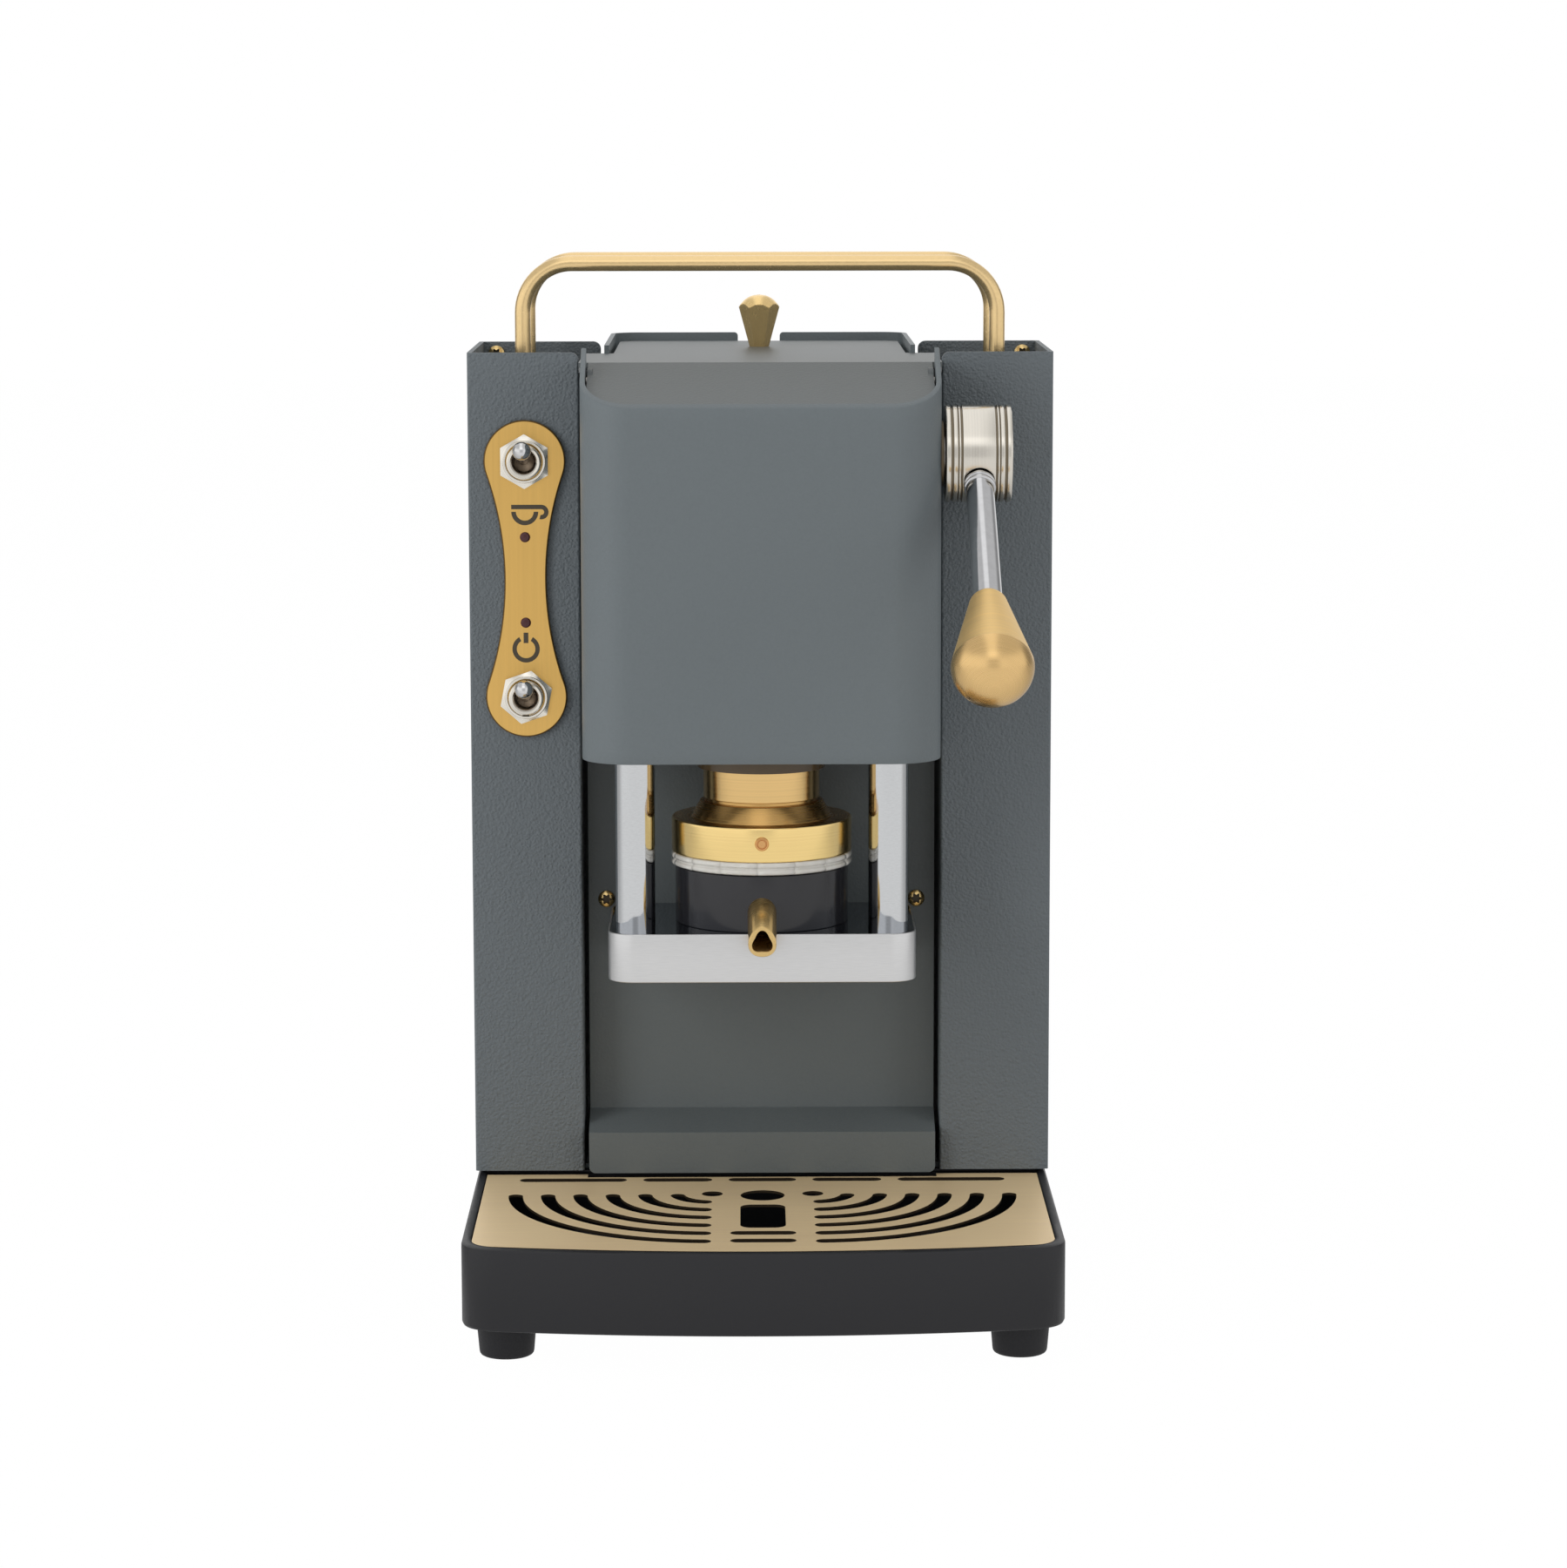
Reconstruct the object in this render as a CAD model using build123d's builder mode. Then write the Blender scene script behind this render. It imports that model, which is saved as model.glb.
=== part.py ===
from build123d import *
from math import asin, cos, pi, radians, sin
import os

os.makedirs("parts", exist_ok=True)

# Lever espresso machine for paper pods. X is to the right, +Y to the back, +Z up.
# The origin is on the table under the middle of the machine.
# Depths called "ahead" are measured forward from the front faces of the two columns.

# Body
column_width = 33.8
column_depth = 70.0
column_top = 291.0
plinth_top = 38.0
sheet = 1.5
rear_reach = 130.0
overrun = 1.0
running_gap = 0.05
slide_gap = 0.5
seat_gap = 0.3

# Lever, seen from its pivot
pivot_ahead = 20.0
pivot_drop = 15.3
lever_slope = 31.0
knob_start = 72.9
knob_length = 31.3
knob_end_radius = 11.9
knob_dome = 11.0
lever_swing_angle = 95.0

# Group
group_ahead = 18.0
pod_radius = 22.8
ring_overhang = 4.45
guide_radius = 6.05
guide_clearance = 4.9
plate_margin = 7.9
hood_margin = 15.5
hood_clearance = 1.3
hood_reach = 45.0
holder_base = 120.4
hood_lift = 50.9
piston_travel = 9.0

# Tray and feet
tray_corner_margin = 6.0
tray_bow = 8.0
tray_back_ahead = -9.0
tray_wall = 2.8
tray_drop = 1.2
foot_height = 11.7
base_sheet = 1.5

# Tank tower
flange_overlap = 4.7
tower_clearance = 1.8

# Lid
lid_drop = 2.5
lid_bend_ahead = 9.8
lid_front_drop = 11.5

ring_radius = pod_radius + ring_overhang
guide_x = ring_radius + guide_clearance + guide_radius
half_plate = guide_x + plate_margin
half_hood = guide_x + hood_margin
inner_face = half_hood + hood_clearance
half_body = inner_face + column_width
tower_half = inner_face - flange_overlap - tower_clearance
half_tray = half_body - slide_gap
base_front_inset = tray_wall + slide_gap
tray_corner_ahead = half_tray + tray_corner_margin
tray_bow_ahead = tray_corner_ahead + tray_bow
lid_top = column_top - lid_drop
hood_front_top = lid_top - lid_front_drop
hood_base = holder_base + hood_lift
tray_top = plinth_top - tray_drop
pivot_height = hood_front_top - pivot_drop
knob_rim = knob_start + knob_length
lever_tilt = radians(lever_slope)
dome_sphere = (knob_end_radius**2 + knob_dome**2) / (2 * knob_dome)
lever_reach = pivot_ahead + (knob_rim + knob_dome - dome_sphere) * cos(lever_tilt) + dome_sphere
column_face = (lever_reach - rear_reach) / 2
arc_shares = (0, 0.25, 0.5, 0.75, 1)


def ahead(depth):
    """Y of a place that lies this far in front of the column faces."""
    return column_face - depth


def turning_plane(origin, direction):
    """Plane through a turned piece's axis: local Y runs along it and local X is a radius."""
    along = Vector(*direction).normalized()
    return Plane(origin=origin, x_dir=along.cross(Vector(1, 0, 0)), z_dir=(1, 0, 0))


def turned_arc(middle, radius, start, end):
    """Points along an arc about a place on a turned piece's axis, at angles from the axis's foot."""
    turns = [start + share * (end - start) for share in arc_shares]
    return [(radius * sin(turn), middle - radius * cos(turn)) for turn in turns]


def crown_arc(foot, radius, height):
    """Points along a spherical crown, from its rim to its pole."""
    sphere = (radius**2 + height**2) / (2 * height)
    return turned_arc(foot + height - sphere, sphere, pi - asin(radius / sphere), pi)


def bowed_face(half_width, back, corner, bow, radius):
    """Plan of the tray family: straight back and sides, one shallow arc along the front."""
    with BuildSketch(Plane.XY) as plan:
        with BuildLine():
            Polyline(
                (half_width, ahead(corner)),
                (half_width, ahead(back)),
                (-half_width, ahead(back)),
                (-half_width, ahead(corner)),
            )
            ThreePointArc((-half_width, ahead(corner)), (0, ahead(bow)), (half_width, ahead(corner)))
        make_face()
        fillet(plan.vertices().sort_by(Axis.Y)[:2], radius)
    return plan.sketch


def fronted_face(width, front, back, radius):
    """Plan of the hood and the upper plate: a rectangle with its two front corners rounded."""
    with BuildSketch(Plane.XY) as plan:
        with Locations((0, ahead((front + back) / 2))):
            Rectangle(width, front - back)
        fillet(plan.vertices().group_by(Axis.Y)[0], radius)
    return plan.sketch


# Feet: tapered rubber buttons, each with a screw recess underneath
foot_top_radius = 9.0
foot_tip_radius = 7.6
foot_edge = 0.8
foot_screw_radius = 2.5
foot_screw_depth = 3.0
foot_inset = 0.2
foot_setback = 20.0
rear_foot_inset = 12.0
rear_foot_setback = 16.0
front_foot_x = half_tray - base_front_inset - foot_top_radius - foot_inset
front_foot_ahead = tray_corner_ahead - foot_setback
rear_foot_x = tower_half - rear_foot_inset
rear_foot_ahead = rear_foot_setback - rear_reach
foot_places = (("front", front_foot_x, front_foot_ahead), ("rear", rear_foot_x, rear_foot_ahead))
for side, foot_x, foot_ahead in foot_places:
    with BuildPart() as feet:
        with BuildSketch(Plane.XZ.offset(-ahead(foot_ahead))):
            with Locations((foot_x, 0)):
                Polygon(
                    (0, 0),
                    (foot_tip_radius, 0),
                    (foot_top_radius, foot_height),
                    (0, foot_height),
                    align=None,
                )
        revolve(axis=Axis((foot_x, ahead(foot_ahead), 0), (0, 0, 1)))
        chamfer(feet.edges().filter_by(GeomType.CIRCLE).group_by(Axis.Z)[0], foot_edge)
        with Locations((foot_x, ahead(foot_ahead), 0)):
            Hole(foot_screw_radius, depth=foot_screw_depth)
        mirror(about=Plane.YZ)
    feet.part.label = f"feet_{side}"
    export_step(feet.part, f"parts/feet_{side}.step")

# Base plate: flat sheet on the feet, narrow under the tank and bowed under the tray
base_plate_top = foot_height + base_sheet
base_corner = 6.0
with BuildPart() as base_plate:
    with BuildSketch(Plane.XY.offset(foot_height)):
        add(
            bowed_face(
                half_tray - base_front_inset,
                -column_depth,
                tray_corner_ahead - base_front_inset,
                tray_bow_ahead - base_front_inset,
                base_corner,
            )
        )
        with Locations((0, ahead(-rear_reach + sheet))):
            Rectangle(2 * (tower_half - sheet), rear_reach - column_depth, align=(Align.CENTER, Align.MAX))
    extrude(amount=base_sheet)
base_plate.part.label = "base_plate"
export_step(base_plate.part, "parts/base_plate.step")

# Plinth: folded pan behind the tray that carries the columns and the tank tower
plinth_front_ahead = tray_back_ahead - 2 * slide_gap
plinth_inset = sheet
with BuildPart() as plinth:
    with BuildSketch(Plane.XY.offset(base_plate_top)) as plinth_plan:
        with Locations((0, ahead(plinth_front_ahead))):
            Rectangle(
                2 * (half_body - plinth_inset),
                column_depth + plinth_front_ahead,
                align=(Align.CENTER, Align.MIN),
            )
        with Locations((0, ahead(-rear_reach + plinth_inset))):
            Rectangle(
                2 * (tower_half - plinth_inset),
                rear_reach - column_depth,
                align=(Align.CENTER, Align.MAX),
            )
    extrude(amount=plinth_top - base_plate_top)
    with BuildSketch(Plane.XY.offset(base_plate_top)):
        add(plinth_plan.sketch)
        offset(amount=-sheet, mode=Mode.REPLACE)
    extrude(amount=plinth_top - base_plate_top - sheet, mode=Mode.SUBTRACT)
plinth.part.label = "plinth"
export_step(plinth.part, "parts/plinth.step")

# Columns: folded sheet boxes, open on top, with a low inner wall and a rear flange
column_edge = 0.8
corner_round = 2.4
inner_wall_drop = 6.4
inner_wall_top = column_top - inner_wall_drop
inner_well = column_width - 2 * sheet
column_middle = half_body - column_width / 2
bushing_radius = 5.9
switch_share = 0.4911
switch_drop = 68.65
switch_x = -inner_face - switch_share * column_width
switch_rise = column_top - switch_drop
switch_half_span = 35.95
indicator_radius = 1.6
indicator_low = 13.25
indicator_high = 12.85
indicator_rise = (switch_rise - indicator_low, switch_rise + indicator_high)
tab_overlap = sheet
for side, sign in (("left", -1), ("right", 1)):
    with BuildPart() as column:
        with BuildSketch(Plane.XY.offset(plinth_top)):
            with Locations((sign * column_middle, ahead(-column_depth / 2))):
                RectangleRounded(column_width, column_depth, column_edge)
        extrude(amount=column_top - plinth_top)
        with BuildSketch(Plane.XY.offset(plinth_top + sheet)):
            with Locations((sign * column_middle, ahead(-column_depth / 2))):
                Rectangle(inner_well, column_depth - 2 * sheet)
        extrude(amount=column_top - plinth_top, mode=Mode.SUBTRACT)
        with BuildSketch(Plane.XY.offset(inner_wall_top)):
            with Locations((sign * (inner_face + sheet / 2), ahead(-column_depth / 2))):
                Rectangle(sheet + column_edge, column_depth - 2 * sheet)
        extrude(amount=column_top - inner_wall_top + overrun, mode=Mode.SUBTRACT)
        with BuildSketch(Plane.XZ.offset(-ahead(-column_depth))):
            flange_middle = inner_face - (flange_overlap - tab_overlap) / 2
            with Locations((sign * flange_middle, (column_top + plinth_top) / 2)):
                Rectangle(flange_overlap + tab_overlap, column_top - plinth_top)
        extrude(amount=sheet)
        flange_edge = inner_face - flange_overlap
        for wall_ahead, corner_x in ((0, inner_face), (sheet - column_depth, flange_edge)):
            inward = Align.MIN if sign > 0 else Align.MAX
            with BuildSketch(Plane.XZ.offset(-ahead(wall_ahead + overrun))):
                with Locations((sign * corner_x, column_top)):
                    Rectangle(corner_round, corner_round, align=(inward, Align.MAX))
                with Locations((sign * (corner_x + corner_round), column_top - corner_round)):
                    Circle(corner_round, mode=Mode.SUBTRACT)
            extrude(amount=-sheet - 2 * overrun, mode=Mode.SUBTRACT)
        if sign < 0:
            with BuildSketch(Plane.XZ.offset(-ahead(-sheet - overrun))):
                with Locations(
                    (switch_x, switch_rise - switch_half_span), (switch_x, switch_rise + switch_half_span)
                ):
                    Circle(bushing_radius + running_gap)
                with Locations(*[(switch_x, rise) for rise in indicator_rise]):
                    Circle(indicator_radius + running_gap)
            extrude(amount=sheet + 2 * overrun, mode=Mode.SUBTRACT)
    column.part.label = f"column_{side}"
    export_step(column.part, f"parts/column_{side}.step")

# Column tops: recessed plates that the handle legs pass through
column_plate_drop = 8.0
column_plate_top = column_top - column_plate_drop
handle_radius = 2.4
handle_leg_inset = 16.1
handle_leg_x = half_body - handle_leg_inset
handle_front_ahead = -20.0
handle_setback = 15.0
handle_aheads = (handle_front_ahead, handle_setback - column_depth)
plate_fit = 0.1
for side, sign in (("left", -1), ("right", 1)):
    with BuildPart() as column_cap:
        with BuildSketch(Plane.XY.offset(column_plate_top - sheet)):
            with Locations((sign * column_middle, ahead(-column_depth / 2))):
                Rectangle(inner_well - 2 * plate_fit, column_depth - 2 * sheet - 2 * plate_fit)
            with Locations(*[(sign * handle_leg_x, ahead(leg)) for leg in handle_aheads]):
                Circle(handle_radius + running_gap, mode=Mode.SUBTRACT)
        extrude(amount=sheet)
    column_cap.part.label = f"column_cap_{side}"
    export_step(column_cap.part, f"parts/column_cap_{side}.step")

# Handle: two bent bars side by side, each standing on a nut under the column tops
handle_rise = 26.2
handle_bend = 15.0
nut_radius = 4.2
nut_height = 3.0
handle_height = column_top + handle_rise
handle_leg_end = column_plate_top - sheet - nut_height
for side, bar_ahead in (("front", handle_aheads[0]), ("rear", handle_aheads[1])):
    with BuildPart() as handle:
        with BuildLine():
            FilletPolyline(
                (-handle_leg_x, ahead(bar_ahead), handle_leg_end),
                (-handle_leg_x, ahead(bar_ahead), handle_height),
                (handle_leg_x, ahead(bar_ahead), handle_height),
                (handle_leg_x, ahead(bar_ahead), handle_leg_end),
                radius=handle_bend,
            )
        leg_foot = (-handle_leg_x, ahead(bar_ahead), handle_leg_end)
        with BuildSketch(Plane(origin=leg_foot, z_dir=(0, 0, 1))):
            Circle(handle_radius)
        sweep()
        with BuildSketch(Plane.XY.offset(handle_leg_end)):
            with Locations((-handle_leg_x, ahead(bar_ahead)), (handle_leg_x, ahead(bar_ahead))):
                RegularPolygon(nut_radius, 6)
        extrude(amount=nut_height)
    handle.part.label = f"handle_{side}"
    export_step(handle.part, f"parts/handle_{side}.step")

# Column screws: domed brass heads inside the back walls, near the top
screw_head_radius = 2.5
screw_head_height = 1.4
screw_chamfer = 0.8
column_screw_inset = 5.4
column_screw_drop = 3.7
column_screw_x = half_body - column_screw_inset
column_screw_rise = column_top - column_screw_drop
with BuildPart() as column_screws:
    with BuildSketch(Plane.XZ.offset(-ahead(-column_depth + sheet))):
        with Locations((-column_screw_x, column_screw_rise), (column_screw_x, column_screw_rise)):
            Circle(screw_head_radius)
    extrude(amount=screw_head_height)
    chamfer(column_screws.edges().filter_by(GeomType.CIRCLE).group_by(Axis.Y)[0], screw_chamfer)
column_screws.part.label = "column_screws"
export_step(column_screws.part, "parts/column_screws.step")

# Splash panel: one sheet behind the group, stepped forward at the foot, side flanges to the plinth
panel_side_gap = 1.5
panel_width = 2 * (inner_face - panel_side_gap)
panel_ahead = -10.5
panel_foot_ahead = 4.0
panel_rise = 29.5
panel_top = hood_base + panel_rise
panel_flange_drop = 2.0
panel_flange_top = hood_base - panel_flange_drop
step_rise = 12.8
step_height = 4.8
step_foot = plinth_top + step_rise
step_top = step_foot + step_height
panel_corner = 2.0
panel_flange = 12.0
panel_screw_clearance = 1.9
panel_screw_lift = 1.3
panel_screw_x = half_plate + panel_screw_clearance
panel_screw_rise = holder_base + panel_screw_lift
with BuildPart() as splash_panel:
    with BuildSketch(Plane.YZ.offset(-panel_width / 2)):
        Polygon(
            (ahead(panel_ahead), panel_top),
            (ahead(panel_ahead), step_top),
            (ahead(panel_foot_ahead), step_foot),
            (ahead(panel_foot_ahead), plinth_top),
            (ahead(panel_foot_ahead - sheet), plinth_top),
            (ahead(panel_foot_ahead - sheet), step_foot - sheet),
            (ahead(panel_ahead - sheet), step_top - sheet),
            (ahead(panel_ahead - sheet), panel_top),
            align=None,
        )
    extrude(amount=panel_width)
    with BuildSketch(Plane.XY.offset(plinth_top)):
        with Locations(
            ((panel_width - sheet) / 2, ahead(panel_ahead - sheet)),
            (-(panel_width - sheet) / 2, ahead(panel_ahead - sheet)),
        ):
            Rectangle(sheet, panel_flange - sheet, align=(Align.CENTER, Align.MIN))
    extrude(amount=panel_flange_top - plinth_top)
    with BuildSketch(Plane.XZ.offset(-ahead(panel_ahead - panel_flange))):
        for sign in (-1, 1):
            with Locations((sign * panel_width / 2, panel_flange_top)):
                Rectangle(
                    2 * (panel_width / 2 - half_hood + 2 * sheet),
                    panel_top - panel_flange_top + overrun,
                    align=(Align.CENTER, Align.MIN),
                )
    extrude(amount=2 * panel_flange, mode=Mode.SUBTRACT)
    foot_edges = splash_panel.edges().filter_by(Axis.Y)
    foot_corners = foot_edges.filter_by(lambda e: e.center().Z < plinth_top + sheet)
    fillet(foot_corners.sort_by(Axis.Y)[:2], panel_corner)
splash_panel.part.label = "splash_panel"
export_step(splash_panel.part, "parts/splash_panel.step")

# Panel screws: domed heads that hold the splash panel beside the lower plate
panel_screw_radius = 2.15
with BuildPart() as panel_screws:
    with BuildSketch(Plane.XZ.offset(-ahead(panel_ahead))):
        with Locations((-panel_screw_x, panel_screw_rise), (panel_screw_x, panel_screw_rise)):
            Circle(panel_screw_radius)
    extrude(amount=screw_head_height)
    chamfer(panel_screws.edges().filter_by(GeomType.CIRCLE).group_by(Axis.Y)[0], screw_chamfer)
panel_screws.part.label = "panel_screws"
export_step(panel_screws.part, "parts/panel_screws.step")

# Hood: one sheet bent round the group, its sides rising to ears that carry the lid
hood_corner = 15.0
hood_back_ahead = -20.0
ear_rise = 2.0
ear_top = column_top + ear_rise
ear_ahead = 12.6
hood_shoulder = inner_wall_top
hinge_ahead = 16.0
hinge_drop = 5.3
hinge_height = lid_top - hinge_drop
hinge_pin_radius = 1.2
bush_outer_radius = 7.0
with BuildPart() as group_hood:
    with BuildSketch(Plane.XY.offset(hood_base)):
        add(fronted_face(2 * half_hood, hood_reach, hood_back_ahead, hood_corner))
        add(
            fronted_face(
                2 * (half_hood - sheet),
                hood_reach - sheet,
                hood_back_ahead - overrun,
                hood_corner - sheet,
            ),
            mode=Mode.SUBTRACT,
        )
    extrude(amount=ear_top - hood_base)
    with BuildSketch(Plane.YZ.offset(-half_hood - overrun)):
        Polygon(
            (ahead(hood_reach + overrun), hood_front_top),
            (ahead(hood_reach), hood_front_top),
            (ahead(ear_ahead), ear_top),
            (ahead(ear_ahead), ear_top + overrun),
            (ahead(hood_reach + overrun), ear_top + overrun),
            align=None,
        )
        Polygon(
            (ahead(ear_ahead), ear_top + overrun),
            (ahead(ear_ahead), hood_shoulder),
            (ahead(hood_back_ahead - overrun), hood_shoulder),
            (ahead(hood_back_ahead - overrun), ear_top + overrun),
            align=None,
        )
    extrude(amount=2 * (half_hood + overrun), mode=Mode.SUBTRACT)
    with BuildSketch(Plane.YZ.offset(-half_hood - overrun)):
        with Locations((ahead(hinge_ahead), hinge_height)):
            Circle(hinge_pin_radius + running_gap)
        with Locations((ahead(pivot_ahead), pivot_height)):
            Circle(bush_outer_radius)
    extrude(amount=2 * (half_hood + overrun), mode=Mode.SUBTRACT)
group_hood.part.label = "group_hood"
export_step(group_hood.part, "parts/group_hood.step")

# Lid: T-shaped sheet, flat over the tank, bent down to close the top of the hood
lid_side_gap = 3.0
lid_rear_gap = 7.0
lid_rear_half = tower_half - lid_side_gap
lid_rear_ahead = lid_rear_gap - rear_reach
tower_front_ahead = -44.0
lid_step_ahead = tower_front_ahead
lid_corner = 6.0
lid_wing_half = inner_face - seat_gap
lid_slope_half = half_hood - sheet - slide_gap
lid_front_ahead = 42.6
lid_slope = (lid_top - hood_front_top) / (hood_reach - lid_bend_ahead)
lid_fall = (lid_front_ahead - lid_bend_ahead) * lid_slope
lid_front_corner = hood_corner - sheet
ear_half_length = 4.0
ear_front = hinge_ahead + ear_half_length
ear_rear = hinge_ahead - ear_half_length
with BuildPart() as lid:
    with BuildSketch(Plane.XY.offset(lid_top - sheet)) as lid_plan:
        with Locations((0, ahead(lid_rear_ahead))):
            Rectangle(2 * lid_rear_half, lid_bend_ahead - lid_rear_ahead, align=(Align.CENTER, Align.MAX))
        fillet(lid_plan.vertices().group_by(Axis.Y)[-1], lid_corner)
        with Locations((0, ahead(lid_step_ahead))):
            Rectangle(2 * lid_wing_half, lid_bend_ahead - lid_step_ahead, align=(Align.CENTER, Align.MAX))
    extrude(amount=sheet)
    with BuildSketch(Plane.YZ.offset(-lid_slope_half)):
        Polygon(
            (ahead(lid_bend_ahead), lid_top),
            (ahead(lid_front_ahead), lid_top - lid_fall),
            (ahead(lid_front_ahead), lid_top - lid_fall - sheet),
            (ahead(lid_bend_ahead), lid_top - sheet),
            align=None,
        )
    extrude(amount=2 * lid_slope_half)
    for sign, outward in ((-1, Align.MIN), (1, Align.MAX)):
        with BuildSketch(Plane.XY.offset(lid_top)):
            with Locations((sign * lid_slope_half, ahead(lid_front_ahead))):
                Rectangle(lid_front_corner, lid_front_corner, align=(outward, Align.MIN))
            corner_middle = ahead(lid_front_ahead - lid_front_corner)
            with Locations((sign * (lid_slope_half - lid_front_corner), corner_middle)):
                Circle(lid_front_corner, mode=Mode.SUBTRACT)
        extrude(amount=-lid_fall - 2 * sheet, mode=Mode.SUBTRACT)
    with BuildSketch(Plane.YZ.offset(-lid_slope_half)):
        with Locations((ahead(hinge_ahead), hinge_height)):
            Circle(ear_half_length)
        Polygon(
            (ahead(ear_front), hinge_height),
            (ahead(ear_front), lid_top - sheet / 2 - (ear_front - lid_bend_ahead) * lid_slope),
            (ahead(ear_rear), lid_top - sheet / 2 - (ear_rear - lid_bend_ahead) * lid_slope),
            (ahead(ear_rear), hinge_height),
            align=None,
        )
        with Locations((ahead(hinge_ahead), hinge_height)):
            Circle(hinge_pin_radius, mode=Mode.SUBTRACT)
    tab = extrude(amount=sheet)
    mirror(tab, about=Plane.YZ)
lid.part.label = "lid"
export_step(lid.part, "parts/lid.step")

# Hinge pins: rivets through the lid's ears into the hood's ears
pin_tail = 0.6
with BuildPart() as lid_pins:
    with BuildSketch(Plane.YZ.offset(lid_slope_half - sheet - pin_tail)):
        with Locations((ahead(hinge_ahead), hinge_height)):
            Circle(hinge_pin_radius)
    extrude(amount=half_hood - lid_slope_half + sheet + pin_tail)
    mirror(about=Plane.YZ)
lid_pins.part.label = "lid_pins"
export_step(lid_pins.part, "parts/lid_pins.step")

# Lid knob: six tapered flats turned to a dome on top
lid_knob_ahead = -86.0
lid_knob_height = 16.6
lid_knob_base = 3.1
lid_knob_top = 6.5
lid_knob_shoulder = 12.6
with BuildPart() as lid_knob:
    with BuildSketch(Plane.XY.offset(lid_top)):
        with Locations((0, ahead(lid_knob_ahead))):
            RegularPolygon(lid_knob_base, 6)
    with BuildSketch(Plane.XY.offset(lid_top + lid_knob_shoulder)):
        with Locations((0, ahead(lid_knob_ahead))):
            RegularPolygon(lid_knob_top, 6)
    loft(ruled=True)
    with BuildSketch(Plane.XY.offset(lid_top + lid_knob_shoulder)):
        with Locations((0, ahead(lid_knob_ahead))):
            RegularPolygon(lid_knob_top, 6)
    extrude(amount=lid_knob_height - lid_knob_shoulder)
    with BuildSketch(turning_plane((0, ahead(lid_knob_ahead), lid_top), (0, 0, 1))):
        Polygon(
            (0, 0),
            (lid_knob_top, 0),
            *crown_arc(lid_knob_shoulder, lid_knob_top, lid_knob_height - lid_knob_shoulder),
            align=None,
        )
    revolve(axis=Axis((0, ahead(lid_knob_ahead), lid_top), (0, 0, 1)), mode=Mode.INTERSECT)
lid_knob.part.label = "lid_knob"
export_step(lid_knob.part, "parts/lid_knob.step")

# Tank tower: sheet wrapped round the tank, its rim standing above the lid with a notch for a thumb
tower_corner = 9.0
tower_front_top = inner_wall_top
notch_width = 13.8
notch_depth = 6.5
notch_round = 1.2
inlet_rise = 66.0
inlet_width = 27.0
inlet_height = 19.5
inlet_x = 22.0
tower_depth = rear_reach + tower_front_ahead
tower_middle = -rear_reach + tower_depth / 2
with BuildPart() as tank_tower:
    with BuildSketch(Plane.XY.offset(plinth_top)) as tower_plan:
        with Locations((0, ahead(tower_middle))):
            Rectangle(2 * tower_half, tower_depth)
        fillet(tower_plan.vertices().group_by(Axis.Y)[-1], tower_corner)
    extrude(amount=column_top - plinth_top)
    with BuildSketch(Plane.XY.offset(plinth_top + sheet)) as tower_well:
        with Locations((0, ahead(tower_middle))):
            Rectangle(2 * (tower_half - sheet), tower_depth - 2 * sheet)
        fillet(tower_well.vertices().group_by(Axis.Y)[-1], tower_corner - sheet)
    extrude(amount=column_top - plinth_top, mode=Mode.SUBTRACT)
    with BuildSketch(Plane.XY.offset(tower_front_top)):
        with Locations((0, ahead(tower_front_ahead + overrun))):
            Rectangle(2 * (tower_half - sheet), sheet + 2 * overrun, align=(Align.CENTER, Align.MIN))
    extrude(amount=column_top - tower_front_top + overrun, mode=Mode.SUBTRACT)
    with BuildSketch(Plane.XZ.offset(-ahead(-rear_reach - overrun))):
        with Locations((0, column_top + overrun)):
            Rectangle(notch_width, notch_depth + overrun, align=(Align.CENTER, Align.MAX))
        with Locations((inlet_x, inlet_rise)):
            Rectangle(inlet_width, inlet_height)
    extrude(amount=sheet + 2 * overrun, mode=Mode.SUBTRACT)
    notch_edges = tank_tower.edges().filter_by(Axis.Y)
    notch_edges = notch_edges.filter_by(lambda e: e.center().Z > column_top - sheet / 2)
    notch_edges = notch_edges.filter_by(lambda e: abs(e.center().X) < notch_width)
    fillet(notch_edges, notch_round)
tank_tower.part.label = "tank_tower"
export_step(tank_tower.part, "parts/tank_tower.step")

# Tank shelf: tray inside the tower that the water tank stands on
shelf_rise = 92.0
tank_spout_radius = 6.0
tank_middle = tower_middle
with BuildPart() as tank_shelf:
    with BuildSketch(Plane.XY.offset(shelf_rise)) as shelf_plan:
        with Locations((0, ahead(tower_middle))):
            Rectangle(2 * (tower_half - sheet), tower_depth - 2 * sheet)
        fillet(shelf_plan.vertices().group_by(Axis.Y)[-1], tower_corner - sheet)
        with Locations((0, ahead(tank_middle))):
            Circle(tank_spout_radius + slide_gap, mode=Mode.SUBTRACT)
    extrude(amount=sheet)
tank_shelf.part.label = "tank_shelf"
export_step(tank_shelf.part, "parts/tank_shelf.step")

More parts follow.
